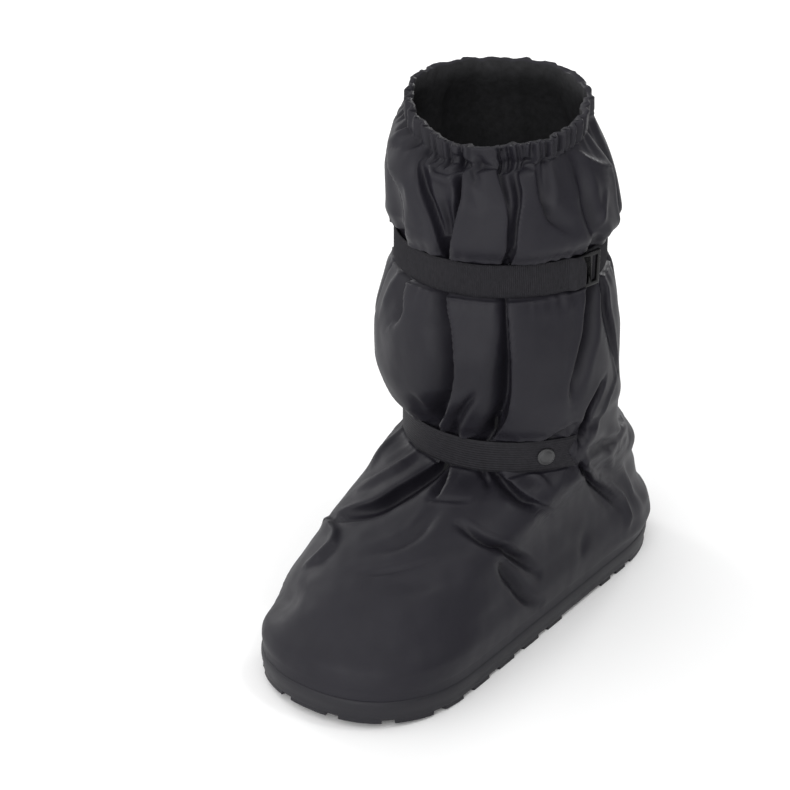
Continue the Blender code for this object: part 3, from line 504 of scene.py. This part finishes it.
def section_points(row, turns):
    """One section of the upper in space, before the spring."""
    section = Section(*row)
    ends = (section.end_share, section.toe_round, section.heel_round)
    plan = outline(section.front_y, section.back_y, section.half_width, ends, turns)
    way = np.clip((plan[:, 1] - section.front_y) / (section.back_y - section.front_y), 0.0, 1.0)
    height = section.front_z + (section.back_z - section.front_z) * way**section.rise
    height += section.lean * plan[:, 0]
    return np.column_stack((plan[:, 0] + section.side_x, plan[:, 1], height))


def column_turns():
    """Turns of the upper's columns, closer together on the front and the outer side."""
    fine = np.linspace(-180.0, 180.0, FINE_TURNS)
    density = 1 + DENSE_GAIN * within(fine, DENSE_SPAN)
    travelled = np.concatenate(([0.0], np.cumsum(density[1:])))
    return np.interp(np.arange(COLUMNS) / COLUMNS * travelled[-1], travelled, fine)


def grid_normals(grid):
    """Outward normals of a grid of closed rings."""
    around = np.roll(grid, -1, axis=1) - np.roll(grid, 1, axis=1)
    normals = np.cross(around, np.gradient(grid, axis=0))
    return normals / np.linalg.norm(normals, axis=2, keepdims=True)


class Surface:
    """The upper's outer face without creases, as a grid of mesh rows and columns."""

    def __init__(self):
        self.turns = column_turns()
        places = [0.0]
        for index, section in enumerate(SECTIONS[:-1]):
            places += [index + (step + 1) / section.steps for step in range(section.steps)]
        self.places = np.array(places)
        self.grid = np.array([section_points(row, self.turns) for row in eased_rows(SECTIONS, self.places)])
        lower = smooth_step((self.places - HEM_DROP_FROM) / HEM_DROP_FADE)[:, None]
        ahead = smooth_step(HEM_AHEAD - np.abs(self.turns) / HEM_AHEAD_TURN)[None]
        self.grid[..., 2] -= lower * ahead * (HEM_DROP + HEM_LEAN * self.grid[..., 0])
        self.height = self.grid[..., 2]
        self.normals = grid_normals(self.grid)
        self.rows = len(places)
        self.wide_turns = np.concatenate(([self.turns[-1] - 360.0], self.turns, [self.turns[0] + 360.0]))

    def row_at(self, place):
        return int(np.argmin(np.abs(self.places - place)))

    def seat_edges(self, seat):
        """Heights of the lower and the upper edge of a strap's seat, at each column."""
        return self.height[self.row_at(seat)][None], self.height[self.row_at(seat + 1)][None]

    def at(self, turn, height):
        """Place and normal on the face at a turn and a height."""
        turn = (turn + 180.0) % 360.0 - 180.0
        column = np.interp(turn, self.wide_turns, np.arange(-1, COLUMNS + 1))
        low = int(math.floor(column))
        share = column - low
        place, normal = np.zeros(3), np.zeros(3)
        for index, weight in ((low, 1 - share), (low + 1, share)):
            index %= COLUMNS
            row = np.interp(height, self.height[:, index], np.arange(self.rows))
            under = min(int(row), self.rows - 2)
            part = row - under
            for step, amount in ((under, 1 - part), (under + 1, part)):
                place += weight * amount * self.grid[step, index]
                normal += weight * amount * self.normals[step, index]
        return place, normal / np.linalg.norm(normal)


def crease_line(surface, crease):
    """A crease's eased path, and its points and sideways directions on the face."""
    path = [(*point, 1.0, 1.0)[:4] for point in crease.path]
    if abs(path[0][0] - path[-1][0]) > 180:
        path = [(point[0] % 360.0, *point[1:]) for point in path]
    line = eased_rows(path, np.linspace(0, len(path) - 1, PATH_STEPS * (len(path) - 1) + 1))
    spots = [surface.at(turn, height) for turn, height, *_ in line]
    place, normal = (np.array(column) for column in zip(*spots))
    across = np.cross(normal, np.gradient(place, axis=0))
    return line, place, across / np.linalg.norm(across, axis=1, keepdims=True)


def crease_fields(surface):
    """Depth of the troughs, height of the ridges and sideways slide of the lips at each point of the face."""
    points = surface.grid.reshape(-1, 3)
    troughs = np.zeros(len(points))
    ridges = np.zeros(len(points))
    slide = np.zeros_like(points)
    for crease in CREASES:
        line, place, across = crease_line(surface, crease)
        reach = CREASE_REACH * max(crease.left, crease.right) * line[:, 3].max()
        near = np.all((points > place.min(axis=0) - reach) & (points < place.max(axis=0) + reach), axis=1)
        near = np.flatnonzero(near)
        offset = points[near][:, None] - place[None]
        squared = (offset**2).sum(axis=2)
        nearest = squared.argmin(axis=1)
        pick = np.arange(len(near))
        across = across[nearest]
        strength, width = line[nearest, 2], line[nearest, 3]
        side = np.sign((offset[pick, nearest] * across).sum(axis=1))
        apart = np.sqrt(squared[pick, nearest])
        is_right = side > 0
        share = apart / (np.where(is_right, crease.right, crease.left) * width)
        shape = strength * np.exp(-(share**2))
        lip = np.where(is_right, crease.right_lip, crease.left_lip) * strength
        ridges[near] += lip * np.exp(-(((share - LIP_PLACE) / LIP_WIDTH) ** 2))
        if crease.depth <= 0:
            ridges[near] -= crease.depth * shape
            continue
        troughs[near] += (crease.depth * shape) ** TROUGH_POWER
        sharp = min(crease.left, crease.right)
        if max(crease.left, crease.right) > TUCK_FROM * sharp:
            way = 1.0 if crease.right == sharp else -1.0
            from_lip = way * side * apart / (sharp * width) - TUCK_PLACE - TUCK_SHARE * crease.tuck
            pull = crease.tuck * sharp * strength * min(1.0, crease.depth / TUCK_DEPTH)
            pull *= way * np.exp(-((from_lip / TUCK_WIDTH) ** 2))
            slide[near] -= across * pull[:, None]
    shape = surface.height.shape
    return (troughs ** (1 / TROUGH_POWER)).reshape(shape), ridges.reshape(shape), slide.reshape(*shape, 3)


def hem_pleats(surface):
    """How far the pleats draw the hem and the cloth under it in."""
    down = np.clip((HEM_SEAT + 1.0 - surface.places) / PLEAT_REACH, 0.0, 1.0)[:, None]
    fade = 1 - smooth_step((down - PLEAT_FADE) / (1 - PLEAT_FADE))
    sunk = np.zeros(surface.height.shape)
    for pleat in PLEATS:
        middle = pleat.high_turn + (pleat.low_turn - pleat.high_turn) * down
        share = (surface.turns[None] - middle) / pleat.half_width
        lips = np.exp(-((np.abs(share) - PLEAT_LIP_PLACE) ** 2))
        sunk += pleat.depth * fade * (np.exp(-(share**2)) - PLEAT_LIP * lips)
    return sunk


def bumps(surface, kind):
    """Soft noise at the points of the face."""
    spread = surface.grid.reshape(-1, 3) / np.array(kind.size) + kind.seed
    values = np.array([noise.noise(Vector(point)) for point in spread])
    return kind.height * values.reshape(surface.height.shape)


def gathers(turns, pitch, seed):
    """Irregular small pleats round a section, from -1 to 1."""
    angle = np.radians(turns)
    around = np.column_stack((np.cos(angle), np.sin(angle), np.full(len(turns), seed)))
    points = around * (360.0 / pitch / GATHER_GRAIN)
    return np.array([noise.noise(Vector(point)) for point in points])[None] * GATHER_GAIN


def beside_straps(surface, move):
    """A move of the cloth held under the straps, with gathers and bulges beside them."""
    height = surface.height
    for band in BANDS:
        low, high = surface.seat_edges(band.seat)
        outside = np.maximum(np.maximum(low - height, height - high), 0.0)
        cover = within(surface.turns, band.span)[None] if band.span else np.ones((1, COLUMNS))
        kind = band.gathers
        fade = np.exp(-((outside / kind.reach) ** kind.power)) * (outside > 0) * cover
        move = move + kind.depth * gathers(surface.turns, kind.pitch, kind.seed) * fade
        bulge = np.where(height > high, band.bulge_above, band.bulge_below)
        move += bulge * (1 - np.exp(-((outside / BULGE_START) ** 2))) * np.exp(-outside / BULGE_REACH) * cover
        free = smooth_step(outside / BAND_FADE) * cover + (1 - cover)
        move = np.where(move > 0, move * free, move * (HELD_SHARE + (1 - HELD_SHARE) * free))
    return move


def hem_move(surface):
    """How the pleats, the small gathers and the line of stitches move the cloth at the hem."""
    from_hem = surface.height - surface.seat_edges(HEM_SEAT)[0]
    kind = HEM_GATHERS
    fade = np.exp(-((np.maximum(-from_hem, 0.0) / kind.reach) ** kind.power))
    fade *= (surface.places > HEM_GATHERS_FROM)[:, None]
    fade *= 1 - PLEATED_CALM * within(surface.turns, PLEATED_SPAN)[None]
    move = kind.depth * gathers(surface.turns, kind.pitch, kind.seed) * fade
    return move - hem_pleats(surface) - HEM_LINE_DEPTH * np.exp(-((from_hem / HEM_LINE_WIDTH) ** 2))


def strap_end_lap(surface):
    """How far the cloth stands out where it laps over the outer end of the ankle strap."""
    low, high = surface.seat_edges(ANKLE_SEAT)
    away = np.abs(surface.height - (low + high) / 2) / (high - low) * 2
    span = (LAP_TURN + LAP_NOTCH * away, LAP_EDGE, LAP_END, LAP_END_FADE)
    return LAP_RISE * within(surface.turns[None], span) * smooth_step((LAP_REACH - away) / LAP_REACH_FADE)


def dressed_face(surface):
    """The upper's outer face with its creases, pleats and small unevenness, and how far each point sank."""
    troughs, ridges, slide = crease_fields(surface)
    shaft = smooth_step((surface.height - SHAFT_FROM) / SHAFT_FADE)
    move = ridges - troughs + bumps(surface, SMALL_BUMPS)
    move += bumps(surface, SHAFT_BUMPS) * shaft + bumps(surface, FOOT_BUMPS) * (1 - shaft)
    move = beside_straps(surface, move) + hem_move(surface) + strap_end_lap(surface)
    free = smooth_step((surface.places - FREE_FROM) / FREE_FADE)[:, None]
    move *= free
    rolled = np.clip((ROLL_TO - surface.places) / ROLL_FADE, 0.0, 1.0) * (surface.places > ROLL_FROM)
    outer_side = within(surface.turns, ROLL_SPAN)[None]
    out, down = (rolled[:, None] * (least + more * outer_side) for least, more in (ROLL_OUT, ROLL_DOWN))
    face = surface.grid + surface.normals * (move + out)[..., None] + slide * free[..., None]
    ruffle = smooth_step(surface.places - HEM_SEAT)[:, None] * gathers(surface.turns, RUFFLE_PITCH, RUFFLE_SEED)
    face[..., 2] += RUFFLE_RISE * ruffle - down
    return face, np.maximum(-move, 0.0)


def link_object(name, data):
    item = bpy.data.objects.new(name, data)
    bpy.context.scene.collection.objects.link(item)
    return item


def finish_mesh(name, points, faces, materials, face_slots=None, uv=None):
    """An object from points in millimetres of the sole's frame."""
    mesh = bpy.data.meshes.new(name)
    mesh.from_pydata((np.asarray(points) * MM + SHIFT).tolist(), [], faces)
    if face_slots is not None:
        mesh.polygons.foreach_set("material_index", face_slots)
    if uv is not None:
        layer = mesh.uv_layers.new(name="cloth")
        corner = np.empty(len(mesh.loops), np.int32)
        mesh.loops.foreach_get("vertex_index", corner)
        layer.uv.foreach_set("vector", np.asarray(uv, np.float32)[corner].ravel())
    mesh.shade_smooth()
    for material in materials:
        mesh.materials.append(material)
    return link_object(name, mesh)


def ring_faces(first, second, count):
    """Quads between two rings of points, given by their first indices."""
    near = np.arange(count)
    after = (near + 1) % count
    return np.column_stack((first + near, first + after, second + after, second + near)).tolist()


def stacked_faces(rings, count):
    """Quads between rings of points that follow each other."""
    return [face for ring in range(rings - 1) for face in ring_faces(ring * count, (ring + 1) * count, count)]


def round_edges(shape, edges, offset, segments):
    kind = {"profile": 0.5, "affect": "EDGES", "clamp_overlap": True}
    bmesh.ops.bevel(shape, geom=list(edges), offset=offset, segments=segments, **kind)


def face_outwards(item):
    shape = bmesh.new()
    shape.from_mesh(item.data)
    bmesh.ops.recalc_face_normals(shape, faces=shape.faces)
    shape.to_mesh(item.data)
    shape.free()


def dress(item, slot_name, *nodes):
    """Sets a piece on the object's one body, in place of its solids."""
    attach(item, "root")
    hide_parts(*nodes)
    return item


class Look:
    """A material whose colour runs from dark to light with a noise in the object's own space."""

    def __init__(self, name, roughness, specular, tone):
        self.material = bpy.data.materials.new(name)
        self.material.use_nodes = True
        self.nodes, self.links = self.material.node_tree.nodes, self.material.node_tree.links
        self.shader = self.nodes["Principled BSDF"]
        self.set("Roughness", roughness)
        self.set("Specular IOR Level", specular)
        self.place = self.nodes.new("ShaderNodeTexCoord")
        self.tone = self.grain(tone.scale, tone.detail, tone.roughness)
        self.drive("Base Color", self.tone, tone.low, tone.high, tone.dark, tone.light)

    def set(self, socket, value):
        self.shader.inputs[socket].default_value = value

    def grain(self, scale, detail, roughness):
        """A noise in the object's own space."""
        node = self.nodes.new("ShaderNodeTexNoise")
        for key, value in (("Scale", scale), ("Detail", detail), ("Roughness", roughness)):
            node.inputs[key].default_value = value
        self.links.new(self.place.outputs["Object"], node.inputs["Vector"])
        return node.outputs["Fac"]

    def drive(self, socket, source, low, high, dark, light):
        """Links a colour ramp between two values of a source to a socket of the shader."""
        node = self.nodes.new("ShaderNodeValToRGB")
        for element, position, colour in zip(node.color_ramp.elements, (low, high), (dark, light)):
            element.position = position
            element.color = (*colour, 1.0)
        self.links.new(source, node.inputs["Fac"])
        self.links.new(node.outputs["Color"], self.shader.inputs[socket])

    def bump(self, *heights):
        """Bumps one after another, each given by (source, strength, distance)."""
        previous = None
        for source, strength, distance in heights:
            node = self.nodes.new("ShaderNodeBump")
            node.inputs["Strength"].default_value = strength
            node.inputs["Distance"].default_value = distance
            self.links.new(source, node.inputs["Height"])
            if previous is not None:
                self.links.new(previous, node.inputs["Normal"])
            previous = node.outputs["Normal"]
        self.links.new(previous, self.shader.inputs["Normal"])


def coated_fabric():
    """Satin waterproof coating over a fine plain weave."""
    look = Look("coated_fabric_look", roughness=0.58, specular=0.25, tone=FABRIC_TONE)
    look.set("Coat Weight", 0.08)
    look.set("Coat Roughness", 0.34)
    gloss = look.grain(scale=60.0, detail=3.0, roughness=0.6)
    look.drive("Roughness", gloss, low=0.2, high=0.8, dark=(0.54,) * 3, light=(0.66,) * 3)
    weave = look.nodes.new("ShaderNodeMath")
    weave.operation = "MULTIPLY"
    for direction, socket in zip(("X", "Y"), weave.inputs):
        wave = look.nodes.new("ShaderNodeTexWave")
        wave.bands_direction = direction
        wave.inputs["Scale"].default_value = THREAD_SCALE
        look.links.new(look.place.outputs["UV"], wave.inputs["Vector"])
        look.links.new(wave.outputs["Fac"], socket)
    crinkle = look.grain(scale=170.0, detail=5.0, roughness=0.6)
    look.bump((crinkle, 0.10, 0.0008), (weave.outputs["Value"], 0.10, 0.0001))
    return look.material


def moulded_rubber():
    """Moulded rubber with a fine matt skin and faint dusty scuffs."""
    look = Look("moulded_rubber_look", roughness=0.56, specular=0.36, tone=RUBBER_TONE)
    look.drive("Roughness", look.tone, low=0.3, high=0.7, dark=(0.5,) * 3, light=(0.64,) * 3)
    skin = look.grain(scale=900.0, detail=3.0, roughness=0.6)
    look.bump((skin, 0.18, 0.0003))
    return look.material


def plain_look(name, roughness, specular, tone, strength, distance):
    """A material with one noise for its tone and its grain."""
    look = Look(name, roughness, specular, tone)
    look.bump((look.tone, strength, distance))
    return look.material


def make_upper(outer_material, inner_material):
    """The fabric shell: the dressed face, the rolled edge of the collar and a plain lining."""
    surface = Surface()
    outer, sunk = dressed_face(surface)
    inward = -grid_normals(outer)[-1] * np.array((1.0, 1.0, 0.0))
    edge = [outer[-1] + inward * across + np.array((0.0, 0.0, rise)) for across, rise in HEM_EDGE]
    rows = surface.rows
    picks = np.unique(np.linspace(0, rows - 1, INNER_ROWS).astype(int))[::-1]
    spread = int(math.ceil(rows / INNER_ROWS)) + 1
    shifts = range(-INNER_SPREAD, INNER_SPREAD + 1)
    widest = np.max([np.roll(sunk, shift, axis=1) for shift in shifts], axis=0)
    drop = (outer - surface.grid)[..., 2]
    inner = []
    for row in picks:
        thickness = HEM_WALL if row >= surface.row_at(HEM_SEAT) else WALL
        deepest = widest[max(row - spread, 0) : row + spread + 1].max(axis=0)
        ring = surface.grid[row] - surface.normals[row] * (deepest + thickness)[:, None]
        ring[:, 2] += drop[row] if row >= surface.row_at(HEM_SEAT - 1) else 0.0
        inner.append(ring)
    rings = [*outer, *edge, *inner]
    points = np.vstack(rings)
    points[:, 2] += spring(points[:, 1])
    faces = stacked_faces(len(rings), COLUMNS) + ring_faces((len(rings) - 1) * COLUMNS, 0, COLUMNS)
    outside = (rows + len(edge)) * COLUMNS
    slots = [0] * outside + [1] * (len(faces) - outside)
    steps = np.linalg.norm(np.diff(surface.grid, axis=0), axis=2).mean(axis=1)
    climb = np.concatenate(([0.0], np.cumsum(steps)))
    climb = np.concatenate((climb, np.full(len(edge), climb[-1]), climb[picks]))
    girth = surface.turns / 360.0 * CLOTH_GIRTH
    uv = np.stack(np.meshgrid(girth, climb), axis=2).reshape(-1, 2)
    item = finish_mesh("upper_fabric", points, faces, (outer_material, inner_material), slots, uv)
    return dress(item, "coated_fabric", "upper")


def fan_lugs(fan):
    """Plans of the lugs round one end of the sole."""
    plans = []
    for index in range(fan.count):
        middle = fan.middle + (index - (fan.count - 1) / 2) * fan.step
        angles = np.radians(np.linspace(middle - fan.half_span, middle + fan.half_span, LUG_ARC_POINTS))
        across = np.abs(np.sin(angles)) / (HALF_WIDTH - LUG_EDGE)
        along = np.abs(np.cos(angles)) / (END_LENGTH - LUG_EDGE)
        roundness = HEEL_ROUNDNESS if fan.end > 0 else TOE_ROUNDNESS
        reach = (across**roundness + along**roundness) ** (-1 / roundness)
        direction = np.column_stack((np.sin(angles), fan.end * np.cos(angles)))
        centre = np.array((0.0, fan.end * (HALF_LENGTH - END_LENGTH)))
        outer = centre + direction * (reach * fan.outer)[:, None]
        inner = centre + direction * (reach * fan.inner)[:, None]
        plans.append(np.vstack((outer, inner[::-1])))
    return plans


def side_lugs(row):
    """Plans of the lugs along one side of the sole, each with a small notch in its rear edge."""
    plans = []
    edge_x = row.side * (HALF_WIDTH - LUG_EDGE)
    inner_x = row.side * row.inner_x
    for index in range(row.count):
        front = row.start_y + index * row.pitch
        back = front + row.length
        rear = np.array(((edge_x, back), (inner_x, back - row.slant)))
        along = (rear[1] - rear[0]) / np.linalg.norm(rear[1] - rear[0])
        middle = rear.mean(axis=0)
        notch = (
            middle - along * NOTCH_HALF,
            middle - along * NOTCH_HALF * 0.5 - (0.0, NOTCH_DEPTH),
            middle + along * NOTCH_HALF * 0.5 - (0.0, NOTCH_DEPTH),
            middle + along * NOTCH_HALF,
        )
        outer = [(edge_x, front + row.length * step / 4) for step in range(4)]
        plans.append(np.array((*outer, rear[0], *notch, rear[1], (inner_x, front - row.slant))))
    return plans


def chevron_lug(lug):
    """Plan of one lug of the middle of the sole."""
    corners = (
        (-lug.half_width, -lug.half_length),
        (0.0, lug.bend - lug.half_length),
        (lug.half_width, -lug.half_length),
        (lug.half_width, lug.half_length),
        (0.0, lug.bend + lug.half_length),
        (-lug.half_width, lug.half_length),
    )
    return np.array(corners) + (lug.x, lug.y)


def inside_outline(plan):
    """A plan's points brought within the lugs' edge, their centre line, and how far out each one lies."""
    straight = HALF_LENGTH - END_LENGTH
    centre = np.column_stack((np.zeros(len(plan)), np.clip(plan[:, 1], -straight, straight)))
    offset = plan - centre
    across = np.abs(offset[:, 0]) / (HALF_WIDTH - LUG_EDGE)
    along = np.abs(offset[:, 1]) / (END_LENGTH - LUG_EDGE)
    roundness = np.where(plan[:, 1] > 0, HEEL_ROUNDNESS, TOE_ROUNDNESS)
    share = (across**roundness + along**roundness) ** (1 / roundness)
    return centre + offset / np.maximum(share, 1.0)[:, None], centre, share


def lug_shape(plan):
    """One rounded lug as a small mesh, from the floor to its root inside the sole."""
    foot, centre, share = inside_outline(plan)
    offset = foot - centre
    reach = np.maximum(np.linalg.norm(offset, axis=1, keepdims=True), 1.0)
    root = foot - offset / reach * np.where(share[:, None] > LUG_EDGE_SHARE, LUG_FLARE, 0.0)
    low = np.column_stack((foot, spring(foot[:, 1])))
    high = np.column_stack((root, LUG_ROOT + spring(root[:, 1])))
    shape = bmesh.new()
    under = [shape.verts.new(place) for place in low]
    over = [shape.verts.new(place) for place in high]
    count = len(plan)
    floor_face = shape.faces.new(under)
    shape.faces.new(over)
    for index in range(count):
        after = (index + 1) % count
        shape.faces.new((under[index], under[after], over[after], over[index]))
    bmesh.ops.recalc_face_normals(shape, faces=shape.faces)
    round_edges(shape, floor_face.edges, LUG_ROUND, segments=2)
    return shape


def make_sole(material):
    """The rubber tray with its rounded rim, and its lugs."""
    turns = (np.arange(SOLE_COLUMNS) + 0.5) * 360.0 / SOLE_COLUMNS - 180.0
    rings = []
    for inset, height in SOLE_SIDE:
        plan = outline(inset - HALF_LENGTH, HALF_LENGTH - inset, HALF_WIDTH - inset, SOLE_ENDS, turns)
        rings.append(np.column_stack((plan, height + spring(plan[:, 1]))))
    points = [tuple(point) for point in np.vstack(rings)]
    faces = stacked_faces(len(rings), SOLE_COLUMNS)
    for first in (0, (len(rings) - 1) * SOLE_COLUMNS):
        for column in range(SOLE_COLUMNS // 2 - 1):
            far = SOLE_COLUMNS - 1 - column
            faces.append((first + column, first + column + 1, first + far - 1, first + far))
    plans = [chevron_lug(lug) for lug in LUG_CHEVRONS]
    for fan in LUG_FANS:
        plans += fan_lugs(fan)
    for row in LUG_SIDE_ROWS:
        plans += side_lugs(row)
    for plan in plans:
        shape = lug_shape(plan)
        shape.verts.index_update()
        first = len(points)
        points += [tuple(vertex.co) for vertex in shape.verts]
        faces += [tuple(first + vertex.index for vertex in face.verts) for face in shape.faces]
        shape.free()
    item = finish_mesh("rubber_sole", points, faces, (material,))
    face_outwards(item)
    item.data.set_sharp_from_angle(angle=SOLE_SHARP)
    return dress(item, "moulded_rubber", "outsole")


def seat_place(seat, turn):
    """Middle of a strap's seat at a turn, and the directions outwards and round the seat there."""
    low, high = SECTIONS[seat], SECTIONS[seat + 1]
    angle = math.radians(turn)
    half_length = (low.back_y - low.front_y) / 2
    x = low.half_width * math.sin(angle)
    y = -half_length * math.cos(angle)
    way = (1.0 - math.cos(angle)) / 2
    front_z = (low.front_z + high.front_z) / 2
    back_z = (low.back_z + high.back_z) / 2
    place = np.array((x + low.side_x, y + low.front_y + half_length, 0.0))
    place[2] = front_z + (back_z - front_z) * way + low.lean * x
    outward = np.array((x / low.half_width**2, y / half_length**2, 0.0))
    outward /= np.linalg.norm(outward)
    return place, outward, np.array((-outward[1], outward[0], 0.0))


def webbing(name, seat, turns, lifts, closed, across_ribs, rib_height, material):
    """A strap with lengthwise ribs, or with a rib at every second station where across_ribs is 0."""
    half = WEBBING_WIDTH / 2
    steps = max(across_ribs * RIB_STEPS, PLAIN_STEPS)
    v = np.linspace(-1.0, 1.0, steps + 1)
    edge = WEBBING_EDGE + (1 - WEBBING_EDGE) * (1.0 - np.abs(v) ** WEBBING_EDGE_POWER)
    ribs = rib_height * 0.5 * (1 - np.cos(np.linspace(0, 2 * math.pi * across_ribs, steps + 1)))
    points = []
    for index, (turn, lift) in enumerate(zip(turns, lifts)):
        place, outward, _ = seat_place(seat, turn)
        wave = noise.noise(Vector((turn * WEBBING_WAVE_PITCH, seat, WEBBING_WAVE_SEED))) * WEBBING_WAVE
        cross = rib_height if not across_ribs and index % 2 == 0 else 0.0
        inner = place + outward * (GAP + lift + WEBBING_CLEAR)
        for side, thick in zip(v, WEBBING_THICKNESS * edge - ribs - cross):
            points.append(inner + outward * thick + np.array((0.0, 0.0, side * half + wave)))
        for side in (1.0, 0.0, -1.0):
            points.append(inner + np.array((0.0, 0.0, side * half + wave)))
    ring = steps + 4
    count = len(turns)
    faces = stacked_faces(count, ring)
    if closed:
        faces += ring_faces((count - 1) * ring, 0, ring)
    else:
        faces += [tuple(range(ring))[::-1], tuple(range((count - 1) * ring, count * ring))]
    item = finish_mesh(name, points, faces, (material,))
    face_outwards(item)
    item.data.set_sharp_from_angle(angle=STRAP_SHARP)
    return item


def make_straps(material):
    turns = np.arange(CALF_STATIONS) * 360.0 / CALF_STATIONS - 180.0
    climb = np.array(BUCKLE_CLIMB)
    lifts = np.interp(turns, climb[:, 0], climb[:, 1])
    calf = webbing("calf_webbing", CALF_SEAT, turns, lifts, True, 0, CALF_RIB_HEIGHT, material)
    dress(calf, "ribbed_webbing", "calf_strap")
    turns = np.linspace(ANKLE_INNER_END, ANKLE_OUTER_END, ANKLE_STATIONS)
    ankle = webbing("ankle_webbing", ANKLE_SEAT, turns, turns * 0, False, ANKLE_RIBS, ANKLE_RIB_HEIGHT, material)
    dress(ankle, "ribbed_webbing", "ankle_strap")


def make_buckle(material):
    """The slide buckle's solid drawn in to the size seen beside the webbing, with its edges rounded."""
    name = "slide_buckle"
    shape = bmesh.new()
    shape.from_mesh(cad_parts["calf_buckle"].data)
    _, outward, around = seat_place(CALF_SEAT, BUCKLE_TURN)
    low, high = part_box("calf_buckle")
    middle = (low + high) / 2
    basis = Matrix((around, (0.0, 0.0, 1.0), outward)).transposed().to_4x4()
    scale = Matrix.Diagonal((*BUCKLE_SCALE, 1.0))
    upright = Matrix.Rotation(BUCKLE_TILT, 4, "Z")
    lean = Matrix.Rotation(BUCKLE_LEAN, 4, "X")
    slide = Matrix.Translation(middle + Vector(around) * BUCKLE_SLIDE * MM + Vector(outward) * BUCKLE_RISE * MM)
    change = slide @ basis @ lean @ scale @ upright @ basis.inverted() @ Matrix.Translation(-middle)
    bmesh.ops.transform(shape, matrix=change, verts=shape.verts)
    bmesh.ops.remove_doubles(shape, verts=shape.verts, dist=MERGE)
    bmesh.ops.dissolve_limit(shape, angle_limit=FLAT_ANGLE, verts=shape.verts, edges=shape.edges)
    round_edges(shape, shape.edges, BUCKLE_ROUND * MM, segments=3)
    mesh = bpy.data.meshes.new(name)
    shape.to_mesh(mesh)
    shape.free()
    mesh.shade_smooth()
    mesh.materials.append(material)
    mesh.set_sharp_from_angle(angle=STRAP_SHARP)
    return dress(link_object(name, mesh), "black_plastic", "calf_buckle")


def make_snap(material):
    """A domed cap with a rolled edge, turned about its own axis."""
    place, outward, around = seat_place(ANKLE_SEAT, SNAP_TURN)
    base = place + outward * (2 * GAP + WEBBING_THICKNESS)
    up = np.array((0.0, 0.0, 1.0))
    points = []
    for radius, height in SNAP_PROFILE:
        for side in range(SNAP_SIDES):
            angle = 2 * math.pi * side / SNAP_SIDES
            points.append(base + outward * height + (around * math.cos(angle) + up * math.sin(angle)) * radius)
    faces = [tuple(range(SNAP_SIDES))[::-1], tuple(range(len(points) - SNAP_SIDES, len(points)))]
    faces += stacked_faces(len(SNAP_PROFILE), SNAP_SIDES)
    item = finish_mesh("snap_cap", points, faces, (material,))
    return dress(item, "painted_cap", "ankle_snap")


def make_camera():
    data = bpy.data.cameras.new("photo_camera")
    data.sensor_width = CAMERA_SENSOR
    data.lens = CAMERA_LENS
    data.clip_end = CAMERA_CLIP
    camera = link_object("photo_camera", data)
    camera.location = Vector(CAMERA_PLACE) + Vector(SHIFT)
    camera.rotation_euler = Euler((math.radians(90.0 - CAMERA_DOWN), 0.0, math.radians(CAMERA_BEARING)))
    bpy.context.scene.camera = camera


def add_light(lamp):
    data = bpy.data.lights.new(lamp.name, "AREA")
    data.shape = "DISK"
    data.size = lamp.size
    data.energy = lamp.power
    light = link_object(lamp.name, data)
    light.location = lamp.place
    aim = Vector((0.0, 0.0, lamp.aim_height)) - Vector(lamp.place)
    light.rotation_euler = aim.to_track_quat("-Z", "Y").to_euler()


def make_dome():
    """A white sky that is brighter on one side."""
    world = bpy.data.worlds.new("soft_white")
    world.use_nodes = True
    nodes, links = world.node_tree.nodes, world.node_tree.links
    background = nodes["Background"]
    background.inputs["Color"].default_value = (1.0, 1.0, 1.0, 1.0)
    way = nodes.new("ShaderNodeTexCoord")
    turned = nodes.new("ShaderNodeVectorMath")
    turned.operation = "DOT_PRODUCT"
    turned.inputs[1].default_value = DOME_WAY
    links.new(way.outputs["Generated"], turned.inputs[0])
    sky = nodes.new("ShaderNodeMapRange")
    sky.interpolation_type = "SMOOTHSTEP"
    for key, value in zip(("From Min", "From Max", "To Min", "To Max"), DOME_RANGE):
        sky.inputs[key].default_value = value
    links.new(turned.outputs["Value"], sky.inputs["Value"])
    links.new(sky.outputs["Result"], background.inputs["Strength"])
    bpy.context.scene.world = world


def make_studio():
    """The dome, the lamps and a pale floor."""
    make_dome()
    for lamp in LAMPS:
        add_light(lamp)
    look = Look("pale_floor", roughness=0.9, specular=0.1, tone=FLOOR_TONE)
    mesh = bpy.data.meshes.new("floor")
    corners = [(x * FLOOR_REACH, y * FLOOR_REACH, 0.0) for x, y in ((-1, -1), (1, -1), (1, 1), (-1, 1))]
    mesh.from_pydata(corners, [], [(0, 1, 2, 3)])
    mesh.materials.append(look.material)
    floor = link_object("floor", mesh)


def build():
    bpy.context.scene.view_settings.view_transform = "Standard"
    fabric, rubber = coated_fabric(), moulded_rubber()
    lining = plain_look("lining_look", 0.8, 0.2, LINING_TONE, strength=0.25, distance=0.0004)
    cloth = plain_look("ribbed_webbing_look", 0.66, 0.22, WEBBING_TONE, strength=0.3, distance=0.0003)
    plastic = plain_look("black_plastic_look", 0.12, 0.2, PLASTIC_TONE, strength=0.05, distance=0.0002)
    cap = plain_look("painted_cap_look", 0.36, 0.42, CAP_TONE, strength=0.05, distance=0.0002)
    make_upper(fabric, lining)
    make_straps(cloth)
    make_buckle(plastic)
    make_sole(rubber)
    make_snap(cap)
    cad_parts["insole"].data.materials.clear()
    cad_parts["insole"].data.materials.append(lining)
    make_camera()
    make_studio()


build()
